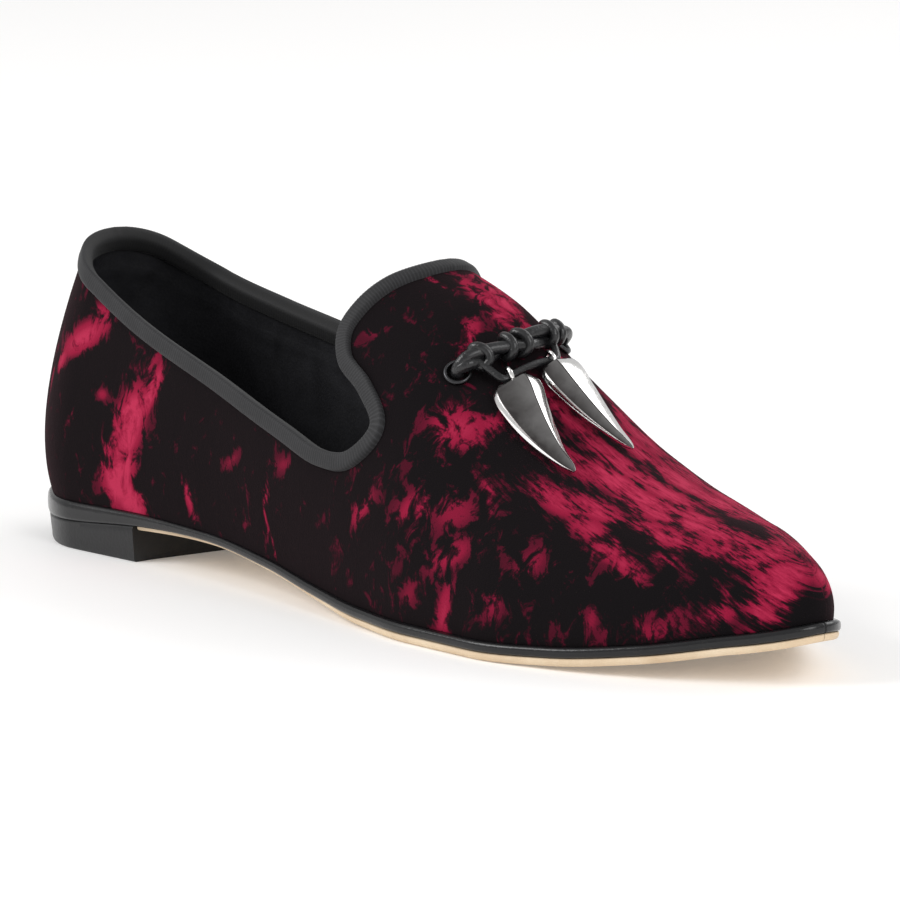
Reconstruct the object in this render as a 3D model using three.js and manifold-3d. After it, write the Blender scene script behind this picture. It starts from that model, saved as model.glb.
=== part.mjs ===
// A low velvet loafer for the right foot, standing empty on its sole, in millimetres.
// +X points to the toe, -Y to the outer side of the foot and +Z up.
// Every piece follows one last: a form of cubic ribs that rise from the feather edge, where
// the upper meets the sole, to a ridge along the top of the foot.
import * as THREE from "three";
import Module from "manifold-3d";

const wasm = await Module();
wasm.setup();

// Driving sizes
const LENGTH = 254; // feather edge, heel to toe
const WALL = 2; // velvet, backing and lining together
const FIT_GAP = 0.3; // between pieces that meet
const LATERAL = -1;
const MEDIAL = 1;

// The feather edge of the last, a row for each section. station is the share of LENGTH from the heel,
// lateral and medial are distances from the heel's axis, and feather is the height over the floor.
const FEATHER = [
  { station: 0.0, lateral: 0, medial: 0, feather: 11.6 },
  { station: 0.03, lateral: 18.2, medial: 18, feather: 11.6 },
  { station: 0.1, lateral: 26.2, medial: 25.5, feather: 11.7 },
  { station: 0.2, lateral: 25.7, medial: 25.5, feather: 12 },
  { station: 0.3, lateral: 26.2, medial: 24, feather: 11.4 },
  { station: 0.4, lateral: 28.6, medial: 23.5, feather: 9.2 },
  { station: 0.48, lateral: 31.8, medial: 25.5, feather: 6.6 },
  { station: 0.56, lateral: 35.2, medial: 29, feather: 4.8 },
  { station: 0.64, lateral: 37.8, medial: 33.5, feather: 4.4 },
  { station: 0.72, lateral: 37.8, medial: 36, feather: 4.4 },
  { station: 0.8, lateral: 33.3, medial: 34, feather: 5.2 },
  { station: 0.88, lateral: 25, medial: 26.5, feather: 7.6 },
  { station: 0.95, lateral: 13.5, medial: 15, feather: 11 },
  { station: 1.0, lateral: -0.5, medial: 0.5, feather: 14 },
];
// The ribs of the last: ridgeY and ridgeZ are the top of the section, bulge is how far the wall leans
// out, and wall and crown are how full the side and the top are.
const RIBS = [
  { station: 0.0, ridgeY: 0, ridgeZ: 112, bulge: 12, wall: 0.28, crown: 0.06 },
  { station: 0.03, ridgeY: 0, ridgeZ: 112, bulge: 10, wall: 0.29, crown: 0.08 },
  { station: 0.1, ridgeY: 0, ridgeZ: 112, bulge: 7, wall: 0.31, crown: 0.17 },
  { station: 0.2, ridgeY: 0, ridgeZ: 110, bulge: 4.5, wall: 0.4, crown: 0.42 },
  { station: 0.3, ridgeY: 0, ridgeZ: 103, bulge: 4, wall: 0.46, crown: 0.6 },
  { station: 0.4, ridgeY: 0.5, ridgeZ: 87, bulge: 4, wall: 0.6, crown: 0.68 },
  { station: 0.48, ridgeY: 1, ridgeZ: 80.2, bulge: 3.5, wall: 0.6, crown: 0.66 },
  { station: 0.56, ridgeY: 2, ridgeZ: 73.2, bulge: 3, wall: 0.58, crown: 0.6 },
  { station: 0.64, ridgeY: 3, ridgeZ: 58.4, bulge: 2.6, wall: 0.56, crown: 0.58 },
  { station: 0.72, ridgeY: 3.5, ridgeZ: 44.8, bulge: 2.2, wall: 0.56, crown: 0.58 },
  { station: 0.8, ridgeY: 3.5, ridgeZ: 36.5, bulge: 2, wall: 0.58, crown: 0.6 },
  { station: 0.88, ridgeY: 3, ridgeZ: 31.9, bulge: 1.8, wall: 0.6, crown: 0.62 },
  { station: 0.95, ridgeY: 2.5, ridgeZ: 30, bulge: 1.6, wall: 0.62, crown: 0.62 },
  { station: 1.0, ridgeY: 2, ridgeZ: 28.8, bulge: 1.5, wall: 0.62, crown: 0.62 },
];
const HEEL_PIVOT = 30; // ribs behind this fan round it
const TOE_PIVOT = LENGTH - 30; // and ribs in front of this one

// The raw top edge of the upper seen from the side: the collar falls to a notch, then the tongue's edge
// climbs back over the instep to the middle of the tongue.
const TOPLINE = [
  { x: 10, z: 72.2, rise: 0 },
  { x: 22, z: 67, rise: -3.4 },
  { x: 48, z: 57.2, rise: -0.6 },
  { x: 78, z: 48.8, rise: 2.8 },
  { x: 108, z: 40.8, rise: 3 },
  { x: 124, z: 37.2, rise: 2.5 },
  { x: 135, z: 38.2, rise: 1.5 },
  { x: 141.5, z: 45, rise: 1 },
  { x: 134.5, z: 52, rise: 0.5 },
  { x: 125, z: 57.6, rise: 0 },
  { x: 121.8, z: 63.6, rise: 0 },
  { x: 123, z: 69.4, rise: 0 },
  { x: 126, z: 74.6, rise: 0 },
  { x: 130, z: 78.6, rise: 0 },
];
const FINE_STEPS = 400; // along each half of the top edge, while it is measured
const TOPLINE_STEPS = 48; // and as it is built

// Rows of the upper from the feather edge to the top edge, closer where the wall turns
const ROW_SHARES = [0, 0.03, 0.08, 0.16, 0.28, 0.42, 0.58, 0.73, 0.85, 0.94, 1];

// The sole, by station: ledge is how far the black midsole stands out of the feather edge, midsole and
// outsole are thicknesses, and tuck is how far the pale outsole is set in under the midsole.
const SOLE = [
  { station: 0.0, ledge: 1.1, midsole: 5.4, outsole: 1, tuck: 1 },
  { station: 0.1, ledge: 1.1, midsole: 4.4, outsole: 1, tuck: 1.4 },
  { station: 0.2, ledge: 0.9, midsole: 2.8, outsole: 1, tuck: 1.8 },
  { station: 0.3, ledge: 0.8, midsole: 1.8, outsole: 1, tuck: 2 },
  { station: 0.45, ledge: 1.1, midsole: 1.9, outsole: 1.2, tuck: 1.4 },
  { station: 0.56, ledge: 1.5, midsole: 2.1, outsole: 1.6, tuck: 0.6 },
  { station: 0.64, ledge: 1.6, midsole: 2.1, outsole: 1.7, tuck: 0.3 },
  { station: 0.72, ledge: 1.6, midsole: 2.1, outsole: 1.7, tuck: 0.3 },
  { station: 1.0, ledge: 1.6, midsole: 2.2, outsole: 1.7, tuck: 0.4 },
];
const SOLE_STEPS = 44;
const INSOLE = 2.2; // thickness
const BREAST_X = 50.5; // front of the heel on the heel's axis
const BREAST_SKEW = THREE.MathUtils.degToRad(4.5); // its inner corner lies further forward
const HEEL_TAPER = 0.6; // the heel narrows to the floor by this on each side

const BINDING = { width: 3.2, thick: 0.75, gap: 0.5 }; // tape folded over the top edge

// Eyelets on the vamp, one on each side of a middle line
const EYELET = { x: 155, middle: -2, reach: 15, hole: 2.3, flange: 3.3, height: 1 };
// Leather cord tied between the eyelets: two strands, a knot of wraps, and a thin strand across its front
const CORD = { radius: 1.45, apart: 1.4, middleX: 158.3, rise: 3.5 };
const HANGER = { radius: 0.9, x: 163.6, rise: 2.9 };
const WRAPS = [
  { y: -12.4, tilt: 0.3, tall: 2.1, deep: 2.6 },
  { y: -6.2, tilt: -0.2, tall: 2.3, deep: 2.7 },
  { y: -2.9, tilt: 0.15, tall: 2.3, deep: 2.7 },
  { y: 5.2, tilt: -0.15, tall: 2.2, deep: 2.6 },
  { y: 8.4, tilt: -0.35, tall: 2, deep: 2.4 },
];
// Faceted metal tusks, each on a ring round the thin strand. along runs from the ring to the tip, bend
// curves the tusk to the outer side, and bow is each tusk's own share of it. ridge is where the edge
// between its two faces lies, lift how far it stands off the vamp and broad its own width.
const TUSKS = {
  pendant_lateral: {
    ringY: -9.6, tipX: 192, tipY: -15, tipRise: 1.2, roll: 0.16, bow: 1, ridge: 0.5, lift: 0, broad: 1,
  },
  pendant_medial: {
    ringY: 1.8, tipX: 193, tipY: 2.2, tipRise: 1.2, roll: 0.3, bow: 0.5, ridge: -0.1, lift: 0.7, broad: 0.88,
  },
};
const TUSK = [
  { along: 2, width: 10.2, thick: 3.6, bend: 0 },
  { along: 4, width: 11.6, thick: 4.2, bend: 0.2 },
  { along: 10.5, width: 10.4, thick: 4.2, bend: 0.8 },
  { along: 18, width: 7.7, thick: 3.5, bend: 0.9 },
  { along: 25, width: 4.6, thick: 2.6, bend: 0.2 },
  { along: 30, width: 2.2, thick: 1.7, bend: -0.9 },
  { along: 31, width: 1.1, thick: 1, bend: -1.1 },
];
const RING = { radius: 1.85, wire: 0.5 };

// Position round the outline, from 0 at the heel to 1 at the toe, of a share of the length
const aroundOf = (share) => Math.acos(1 - 2 * share) / Math.PI;
const shareOf = (around) => (1 - Math.cos(Math.PI * around)) / 2;

// Slopes of a cubic through points that never overshoots them. The half-widths end at an angle, and
// everything else levels out at the heel and the toe.
function monotoneSlopes(at, value, level) {
  const step = at.slice(1).map((a, i) => a - at[i]);
  const rise = step.map((s, i) => (value[i + 1] - value[i]) / s);
  return value.map((_, i) => {
    if (i === 0) return level ? 0 : rise[0];
    if (i === rise.length) return level ? 0 : rise[i - 1];
    const [before, after] = [rise[i - 1], rise[i]];
    return before * after <= 0 ? 0 : (2 * before * after) / (before + after);
  });
}

// A table's column as a smooth function of the position round the outline
function smoothColumn(table, key) {
  const at = table.map((row) => aroundOf(row.station));
  const value = table.map((row) => row[key]);
  const slope = monotoneSlopes(at, value, key !== "lateral" && key !== "medial");
  return (around) => {
    const endSpan = at.length - 2;
    const found = at.findIndex((a, i) => i <= endSpan && around <= at[i + 1]);
    const i = found < 0 ? endSpan : found;
    const width = at[i + 1] - at[i];
    const t = (around - at[i]) / width;
    const [t2, t3] = [t * t, t * t * t];
    return (
      (2 * t3 - 3 * t2 + 1) * value[i] +
      (t3 - 2 * t2 + t) * width * slope[i] +
      (3 * t2 - 2 * t3) * value[i + 1] +
      (t3 - t2) * width * slope[i + 1]
    );
  };
}

function smoothTable(table) {
  const keys = Object.keys(table[0]).filter((key) => key !== "station");
  return Object.fromEntries(keys.map((key) => [key, smoothColumn(table, key)]));
}
const last = { ...smoothTable(FEATHER), ...smoothTable(RIBS) };
const sole = smoothTable(SOLE);

// The feather edge in plan, and its outward normal
function outlinePoint(side, around) {
  const reach = side === LATERAL ? last.lateral(around) : last.medial(around);
  return new THREE.Vector2(LENGTH * shareOf(around), side * reach);
}
function outlineNormal(side, around) {
  const nudge = 1e-3;
  const ahead = outlinePoint(side, Math.min(around + nudge, 1));
  const behind = outlinePoint(side, Math.max(around - nudge, 0));
  if (around === 0) return new THREE.Vector2(-1, 0);
  if (around === 1) return new THREE.Vector2(1, 0);
  const along = ahead.sub(behind).normalize();
  return new THREE.Vector2(-side * along.y, side * along.x);
}
function grownOutline(side, around, grow) {
  return outlinePoint(side, around).addScaledVector(outlineNormal(side, around), grow);
}

// Where a rib ends on the ridge
function ridgePoint(around) {
  const x = THREE.MathUtils.clamp(LENGTH * shareOf(around), HEEL_PIVOT, TOE_PIVOT);
  const at = aroundOf(x / LENGTH);
  const nudge = 0.01;
  const run = LENGTH * (shareOf(at + nudge) - shareOf(at - nudge));
  const slope = (last.ridgeZ(at + nudge) - last.ridgeZ(at - nudge)) / run;
  return { x, y: last.ridgeY(at), z: last.ridgeZ(at), slope };
}

// A point of the last: up runs from 0 on the feather edge to 1 on the ridge, and grow thickens the form
function lastPoint(side, around, up, grow = 0) {
  const foot = grownOutline(side, around, grow);
  const out = outlineNormal(side, around);
  const ridge = ridgePoint(around);
  const feather = last.feather(around);
  const top = ridge.z + grow;
  const bulge = last.bulge(around);
  const crown = last.crown(around);
  const run = (foot.x - ridge.x) * crown;
  const shoulder = feather + (top - feather) * last.wall(around);
  const rib = new THREE.CubicBezierCurve3(
    new THREE.Vector3(foot.x, foot.y, feather),
    new THREE.Vector3(foot.x + out.x * bulge, foot.y + out.y * bulge, shoulder),
    new THREE.Vector3(ridge.x + run, ridge.y + (foot.y - ridge.y) * crown, top + ridge.slope * run),
    new THREE.Vector3(ridge.x, ridge.y, top),
  );
  return rib.getPoint(up);
}

// Bisection for the place where a rising function passes zero
function rootOf(test, low, high) {
  let [a, b] = [low, high];
  for (let i = 0; i < 40; i++) {
    const middle = (a + b) / 2;
    if (test(middle) < 0) a = middle;
    else b = middle;
  }
  return (a + b) / 2;
}

// Place on the last, as { around, up }, of a point given from the side
function placeFromSide(side, x, z) {
  const upAt = (around) => rootOf((up) => lastPoint(side, around, up).z - z, 0, 1);
  const around = rootOf((a) => lastPoint(side, a, upAt(a)).x - x, 0, 1);
  return { around, up: upAt(around) };
}

// Place on the last of a point of the vamp given from above
function placeFromAbove(x, y) {
  const around = aroundOf(x / LENGTH);
  const side = y < last.ridgeY(around) ? LATERAL : MEDIAL;
  const up = rootOf((u) => -side * (lastPoint(side, around, u).y - y), 0.35, 1);
  return { side, around, up };
}

// The top edge as places on the last, evenly spaced from the back of the heel to the middle of the tongue
function toplinePlaces(side) {
  const [back, tongue] = [TOPLINE[0], TOPLINE[TOPLINE.length - 1]];
  const backPlace = { around: 0, up: rootOf((up) => lastPoint(side, 0, up).z - back.z, 0, 1) };
  const tonguePlace = { around: aroundOf(tongue.x / LENGTH), up: 1 };
  const seen = TOPLINE.map(({ x, z, rise }) => new THREE.Vector3(x, 0, side === MEDIAL ? z + rise : z));
  for (const [row, place] of [[0, backPlace], [seen.length - 1, tonguePlace]]) {
    const end = lastPoint(side, place.around, place.up);
    seen[row].set(end.x, 0, end.z);
  }
  const drawn = new THREE.CatmullRomCurve3(seen, false, "centripetal");
  const places = drawn.getSpacedPoints(FINE_STEPS).map(({ x, z }) => placeFromSide(side, x, z));
  places[0] = backPlace;
  places[FINE_STEPS] = tonguePlace;
  const points = places.map(({ around, up }) => lastPoint(side, around, up));
  const length = [0];
  for (let i = 1; i <= FINE_STEPS; i++) length.push(length[i - 1] + points[i].distanceTo(points[i - 1]));
  const even = [];
  for (let step = 0; step <= TOPLINE_STEPS; step++) {
    const wanted = (length[FINE_STEPS] * step) / TOPLINE_STEPS;
    const i = Math.min(Math.max(length.findIndex((v) => v >= wanted), 1), FINE_STEPS);
    const t = (wanted - length[i - 1]) / (length[i] - length[i - 1]);
    even.push({
      around: THREE.MathUtils.lerp(places[i - 1].around, places[i].around, t),
      up: THREE.MathUtils.lerp(places[i - 1].up, places[i].up, t),
    });
  }
  even[0] = backPlace;
  even[TOPLINE_STEPS] = tonguePlace;
  return even;
}
const topline = { [LATERAL]: toplinePlaces(LATERAL), [MEDIAL]: toplinePlaces(MEDIAL) };

// The last laid flat, rib by rib, round its ridge: used to spread rows evenly over the upper
function flatPoint(side, { around, up }) {
  const ridge = ridgePoint(around);
  const spine = new THREE.Vector2(ridge.x, ridge.y);
  return outlinePoint(side, around).lerp(spine, up);
}
function placeFromFlat(side, point) {
  const heelEnd = aroundOf(HEEL_PIVOT / LENGTH);
  const toeStart = aroundOf(TOE_PIVOT / LENGTH);
  let around = aroundOf(THREE.MathUtils.clamp(point.x, HEEL_PIVOT, TOE_PIVOT) / LENGTH);
  const turn = (a) => {
    const ridge = ridgePoint(a);
    const rib = outlinePoint(side, a).sub(ridge);
    return side * (rib.x * (point.y - ridge.y) - rib.y * (point.x - ridge.x));
  };
  if (point.x < HEEL_PIVOT) around = rootOf(turn, 0, heelEnd);
  if (point.x > TOE_PIVOT) around = rootOf(turn, toeStart, 1);
  const ridge = ridgePoint(around);
  const foot = outlinePoint(side, around);
  const reach = Math.hypot(foot.x - ridge.x, foot.y - ridge.y);
  const left = Math.hypot(point.x - ridge.x, point.y - ridge.y);
  return { around, up: 1 - left / reach };
}

// Places of the upper: column 0 is the back seam, the last column the middle of the vamp, row 0 the
// feather edge and the last row the top edge
function upperPlaces(side) {
  const edge = topline[side];
  const toe = outlinePoint(side, 1);
  const tongue = flatPoint(side, edge[TOPLINE_STEPS]);
  const middleAt = (share) => {
    const x = THREE.MathUtils.lerp(toe.x, tongue.x, share);
    if (x <= TOE_PIVOT) return { around: aroundOf(x / LENGTH), up: 1 };
    return { around: 1, up: (toe.x - x) / (toe.x - TOE_PIVOT) };
  };
  return edge.map((place, i) => {
    const s = i / TOPLINE_STEPS;
    const top = flatPoint(side, place);
    const foot = outlinePoint(side, s);
    return ROW_SHARES.map((r) => {
      if (i === 0) return { around: 0, up: place.up * r };
      if (i === TOPLINE_STEPS) return middleAt(r);
      if (r === 0) return { around: s, up: 0 };
      if (r === 1) return place;
      const middle = flatPoint(side, middleAt(r));
      const point = foot.clone().lerp(top, r);
      point.y += s * (middle.y - THREE.MathUtils.lerp(toe.y, tongue.y, r));
      const inside = placeFromFlat(side, point);
      return { around: inside.around, up: Math.max(inside.up, 0.5 * r * place.up) };
    });
  });
}

// Solids
function solidOf(points, faces) {
  const index = new Map();
  const vertices = [];
  const weld = points.map((p) => {
    const key = [p.x, p.y, p.z].map((v) => Math.round(v * 1e4)).join();
    if (!index.has(key)) {
      index.set(key, vertices.length / 3);
      vertices.push(p.x, p.y, p.z);
    }
    return index.get(key);
  });
  let kept = [];
  for (let f = 0; f < faces.length; f += 3) {
    const [a, b, c] = [weld[faces[f]], weld[faces[f + 1]], weld[faces[f + 2]]];
    if (a !== b && b !== c && c !== a) kept.push([a, b, c]);
  }
  const at = (i) => new THREE.Vector3().fromArray(vertices, i * 3);
  const volume = kept.reduce((sum, [a, b, c]) => sum + at(a).dot(at(b).cross(at(c))), 0);
  if (volume < 0) kept = kept.map(([a, b, c]) => [a, c, b]);
  const mesh = new wasm.Mesh({
    numProp: 3,
    vertProperties: new Float32Array(vertices),
    triVerts: new Uint32Array(kept.flat()),
  });
  return new wasm.Manifold(mesh);
}
function solidOfGeometry(geometry) {
  const position = geometry.getAttribute("position");
  const points = [];
  for (let i = 0; i < position.count; i++) {
    points.push(new THREE.Vector3().fromBufferAttribute(position, i));
  }
  const faces = geometry.index ? Array.from(geometry.index.array) : points.map((_, i) => i);
  return solidOf(points, faces);
}
// Rings of points joined ring to ring, either closed on themselves or ended by flat faces
function loft(rings, closed = false) {
  const count = rings[0].length;
  const faces = [];
  const joins = closed ? rings.length : rings.length - 1;
  for (let r = 0; r < joins; r++) {
    const here = r * count;
    const next = ((r + 1) % rings.length) * count;
    for (let i = 0; i < count; i++) {
      const j = (i + 1) % count;
      faces.push(here + i, here + j, next + j, here + i, next + j, next + i);
    }
  }
  if (!closed) {
    const end = (rings.length - 1) * count;
    for (let i = 1; i < count - 1; i++) {
      faces.push(0, i + 1, i, end, end + i, end + i + 1);
    }
  }
  return solidOf(rings.flat(), faces);
}

// A layer of the sole: edge(around) lists the corners of its side, from the top down, by how far they
// stand out of the feather edge and by height
function soleLayer(from, to, steps, edge) {
  const rings = [];
  for (let i = 0; i <= steps; i++) {
    const around = from + ((to - from) * i) / steps;
    const corners = edge(around);
    const half = (side) =>
      corners.map(({ out, z }) => {
        const p = grownOutline(side, around, out);
        return new THREE.Vector3(p.x, p.y, z);
      });
    rings.push([...half(LATERAL), ...half(MEDIAL).reverse()]);
  }
  return loft(rings);
}
const midsoleTop = (around) => last.feather(around) - FIT_GAP;
const midsoleBottom = (around) => midsoleTop(around) - sole.midsole(around);
const outsoleTop = (around) => midsoleBottom(around) - FIT_GAP;
const outsoleBottom = (around) => outsoleTop(around) - sole.outsole(around);

function makeMidsole() {
  return soleLayer(0, 1, SOLE_STEPS, (around) => {
    const [top, bottom, out] = [midsoleTop(around), midsoleBottom(around), sole.ledge(around)];
    const bead = (top - bottom) * 0.3;
    return [
      { out: out - 0.7, z: top },
      { out, z: top - bead },
      { out, z: bottom + bead },
      { out: out - 0.5, z: bottom },
    ];
  });
}
function makeOutsole() {
  const whole = soleLayer(aroundOf(0.1), 1, SOLE_STEPS, (around) => {
    const [top, bottom, tuck] = [outsoleTop(around), outsoleBottom(around), sole.tuck(around)];
    return [
      { out: sole.ledge(around) - tuck, z: top },
      { out: sole.ledge(around) - tuck - 0.1, z: bottom + (top - bottom) * 0.45 },
      { out: sole.ledge(around) - tuck - 1.1, z: bottom },
    ];
  });
  return whole.subtract(breastBlock(LATERAL, FIT_GAP));
}
function makeHeel() {
  const whole = soleLayer(0, aroundOf(0.26), SOLE_STEPS / 2, (around) => {
    const out = sole.ledge(around);
    return [
      { out: out - 0.5, z: outsoleTop(around) },
      { out: out - 0.5 - HEEL_TAPER, z: 0.6 },
      { out: out - 1.1 - HEEL_TAPER, z: 0 },
    ];
  });
  return whole.subtract(breastBlock(MEDIAL, 0));
}
// Block that fills everything behind the heel breast, or everything in front of it
function breastBlock(which, gap) {
  const block = new THREE.BoxGeometry(120, 160, 60);
  block.translate(which * 60 + (which === LATERAL ? gap : 0), 0, 0);
  block.rotateZ(-BREAST_SKEW);
  block.translate(BREAST_X, 0, 5);
  return solidOfGeometry(block);
}
function makeInsole() {
  return soleLayer(0, 1, SOLE_STEPS, (around) => {
    const bottom = last.feather(around);
    const inset = -WALL - 0.4;
    return [
      { out: inset - 0.5, z: bottom + INSOLE },
      { out: inset, z: bottom + INSOLE - 0.4 },
      { out: inset, z: bottom },
    ];
  });
}

// Both halves of a ring round the shoe, from the back seam down the outer side and back by the inner one
function bothHalves(steps, sectionAt) {
  const rings = [];
  for (let i = 0; i <= steps; i++) rings.push(sectionAt(LATERAL, i));
  for (let i = steps - 1; i > 0; i--) rings.push(sectionAt(MEDIAL, i));
  return rings;
}
function makeUpper() {
  const grids = { [LATERAL]: upperPlaces(LATERAL), [MEDIAL]: upperPlaces(MEDIAL) };
  const rings = bothHalves(TOPLINE_STEPS, (side, i) => {
    const column = grids[side][i];
    const skin = (grow) => column.map(({ around, up }) => lastPoint(side, around, up, grow));
    return [...skin(0), ...skin(-WALL).reverse()];
  });
  const shell = loft(rings, true);
  const holes = [LATERAL, MEDIAL].map((side) => {
    const bore = new THREE.CylinderGeometry(EYELET.hole, EYELET.hole, 12, 24);
    return solidOfGeometry(standOnVamp(bore, EYELET.x, EYELET.middle + side * EYELET.reach, 0));
  });
  return holes.reduce((whole, hole) => whole.subtract(hole), shell);
}

// A place slid over the last by a distance, square to the top edge and into the upper
function slideIn(side, step, distance) {
  const edge = topline[side];
  const place = edge[step];
  const nudge = 1e-4;
  const at = (around, up) => lastPoint(side, around, up);
  const here = at(place.around, place.up);
  if (step === 0) {
    const rise = at(place.around, place.up + nudge).distanceTo(here) / nudge;
    return { around: 0, up: place.up - distance / rise };
  }
  const alongAround = at(place.around + nudge, place.up).sub(here).divideScalar(nudge);
  if (step === TOPLINE_STEPS) {
    return { around: place.around + distance / alongAround.length(), up: 1 };
  }
  const alongUp = here.clone().sub(at(place.around, place.up - nudge)).divideScalar(nudge);
  const [before, after] = [edge[step - 1], edge[step + 1]];
  const along = at(after.around, after.up).sub(at(before.around, before.up)).normalize();
  const normal = alongAround.clone().cross(alongUp).normalize();
  const inward = along.clone().cross(normal).multiplyScalar(distance);
  const [aa, au, uu] = [alongAround.dot(alongAround), alongAround.dot(alongUp), alongUp.dot(alongUp)];
  const [wa, wu] = [alongAround.dot(inward), alongUp.dot(inward)];
  const det = aa * uu - au * au;
  return { around: place.around + (wa * uu - wu * au) / det, up: place.up + (wu * aa - wa * au) / det };
}
function makeBinding() {
  const { width, thick, gap } = BINDING;
  const outside = gap + thick;
  const inside = -WALL - gap;
  const lip = -FIT_GAP - thick;
  // corners of the folded tape: how far into the upper, and how far out of its face
  const fold = [
    [width, gap],
    [width, outside],
    [width / 2, outside],
    [lip * 0.4, outside],
    [lip, gap - 0.2],
    [lip, inside + 0.2],
    [lip * 0.4, inside - thick],
    [width, inside - thick],
    [width, inside],
    [-FIT_GAP, inside],
    [-FIT_GAP, gap],
  ];
  const rings = bothHalves(TOPLINE_STEPS, (side, step) =>
    fold.map(([depth, grow]) => {
      const { around, up } = slideIn(side, step, depth);
      return lastPoint(side, around, up, grow);
    }),
  );
  return loft(rings, true);
}

// Vamp fittings: upright on the vamp at a point given from above, raised along its normal
function vampFrame(x, y) {
  const { side, around, up } = placeFromAbove(x, y);
  const nudge = 1e-3;
  const here = lastPoint(side, around, up);
  const ahead = lastPoint(side, around + nudge, up).sub(here);
  const higher = here.clone().sub(lastPoint(side, around, up - nudge));
  const normal = ahead.cross(higher).multiplyScalar(-side).normalize();
  if (normal.z < 0) normal.negate();
  return { here, normal };
}
function standOnVamp(geometry, x, y, raise) {
  const { here, normal } = vampFrame(x, y);
  const turn = new THREE.Quaternion().setFromUnitVectors(new THREE.Vector3(0, 1, 0), normal);
  geometry.applyQuaternion(turn);
  return geometry.translate(...here.addScaledVector(normal, raise).toArray());
}
function makeEyelet(side) {
  const { hole, flange, height } = EYELET;
  const profile = [
    [hole - 0.1, 0],
    [flange, 0],
    [flange - 0.15, height * 0.6],
    [flange - 0.7, height],
    [hole + 0.2, height * 0.8],
    [hole - 0.1, 0],
  ].map(([r, y]) => new THREE.Vector2(r, y));
  const ring = new THREE.LatheGeometry(profile, 18);
  return solidOfGeometry(standOnVamp(ring, EYELET.x, EYELET.middle + side * EYELET.reach, FIT_GAP + 0.15));
}

// A point above the vamp, over the line between the eyelets
function overVamp(x, y, raise) {
  const { here, normal } = vampFrame(x, y);
  return here.addScaledVector(normal, raise);
}
function cordAlong(points, radius, steps) {
  const section = new THREE.Shape().absarc(0, 0, radius, 0, Math.PI * 2);
  const path = new THREE.CatmullRomCurve3(points, false, "centripetal");
  const options = { steps, curveSegments: 3, bevelEnabled: false, extrudePath: path };
  return solidOfGeometry(new THREE.ExtrudeGeometry(section, options));
}
function makeKnot() {
  const { x, middle, reach } = EYELET;
  const sag = CORD.middleX - x;
  // share of the way from the middle to an eyelet, height over the vamp and how far apart the strands lie
  const course = [
    [-1, -3, 0.1],
    [-1, 1.5, 0.1],
    [-0.88, 3.4, 0.7],
    [-0.5, CORD.rise - 0.3, CORD.apart],
    [0, CORD.rise, CORD.apart],
    [0.5, CORD.rise - 0.3, CORD.apart],
    [0.88, 3.4, 0.7],
    [1, 1.5, 0.1],
    [1, -3, 0.1],
  ];
  const strand = (way) => {
    const points = course.map(([share, raise, apart]) => {
      const y = middle + share * reach;
      const at = overVamp(x + sag * (1 - share * share), y, raise);
      return at.add(new THREE.Vector3(way * apart, 0, -way * apart * 0.6));
    });
    return cordAlong(points, CORD.radius, 20);
  };
  const wraps = WRAPS.map(({ y, tilt, tall, deep }) => {
    const wrap = new THREE.TorusGeometry(1, 0.4, 6, 10);
    wrap.scale(deep, tall, 2.8);
    wrap.rotateX(Math.PI / 2);
    wrap.rotateY(0.5);
    wrap.rotateZ(tilt);
    const share = (y - middle) / reach;
    wrap.translate(...overVamp(x + sag * (1 - share * share), y, CORD.rise).toArray());
    return solidOfGeometry(wrap);
  });
  const ends = [-13.2, 6.6].map((y) => overVamp(x + sag / 2, y, CORD.rise - 0.4));
  const front = [-11, -9.6, -4, 1.8, 3.2].map((y) => hangerPoint(y));
  const hanger = cordAlong([ends[0], ...front, ends[1]], HANGER.radius, 14);
  return [strand(1), strand(-1), ...wraps, hanger].reduce((whole, piece) => whole.add(piece));
}
// The thin strand's own line across the front of the knot
function hangerPoint(y) {
  return overVamp(HANGER.x, y, HANGER.rise);
}

function tuskFrame({ ringY, tipX, tipY, tipRise, roll }) {
  const origin = hangerPoint(ringY);
  const tip = overVamp(tipX, tipY, tipRise);
  const along = tip.clone().sub(origin).normalize();
  const { normal } = vampFrame((origin.x + tipX) / 2, (ringY + tipY) / 2);
  normal.applyAxisAngle(along, roll);
  const across = normal.clone().cross(along).normalize();
  const out = along.clone().cross(across).normalize();
  return { origin, along, across, out };
}
function makeTusk(name) {
  const { origin, along, across, out } = tuskFrame(TUSKS[name]);
  const { bow, ridge, lift, broad } = TUSKS[name];
  const point = (a, w, t) =>
    origin.clone().addScaledVector(along, a).addScaledVector(across, w).addScaledVector(out, t);
  const rings = TUSK.map((row) => {
    const half = (broad * row.width) / 2;
    const middle = -bow * row.bend;
    const back = lift - row.thick * 0.45;
    const front = lift + row.thick * 0.55;
    return [
      point(row.along, middle - half * 0.8, back),
      point(row.along, middle + half * 0.8, back),
      point(row.along, middle + half, back + row.thick * 0.35),
      point(row.along, middle + half * ridge, front),
      point(row.along, middle - half * 0.88, back + row.thick * 0.64),
      point(row.along, middle - half, back + row.thick * 0.35),
    ];
  });
  const ring = new THREE.TorusGeometry(RING.radius, RING.wire, 6, 12);
  ring.rotateX(Math.PI / 2);
  ring.applyMatrix4(new THREE.Matrix4().makeBasis(along, across, out).setPosition(origin));
  return loft(rings).add(solidOfGeometry(ring));
}

function meshOf(name, solid, color, options) {
  const { vertProperties, triVerts } = solid.getMesh();
  const geometry = new THREE.BufferGeometry();
  geometry.setAttribute("position", new THREE.BufferAttribute(new Float32Array(vertProperties), 3));
  geometry.setIndex(new THREE.BufferAttribute(new Uint32Array(triVerts), 1));
  geometry.computeVertexNormals();
  const mesh = new THREE.Mesh(geometry, new THREE.MeshStandardMaterial({ color, ...options }));
  mesh.name = name;
  return mesh;
}

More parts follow.
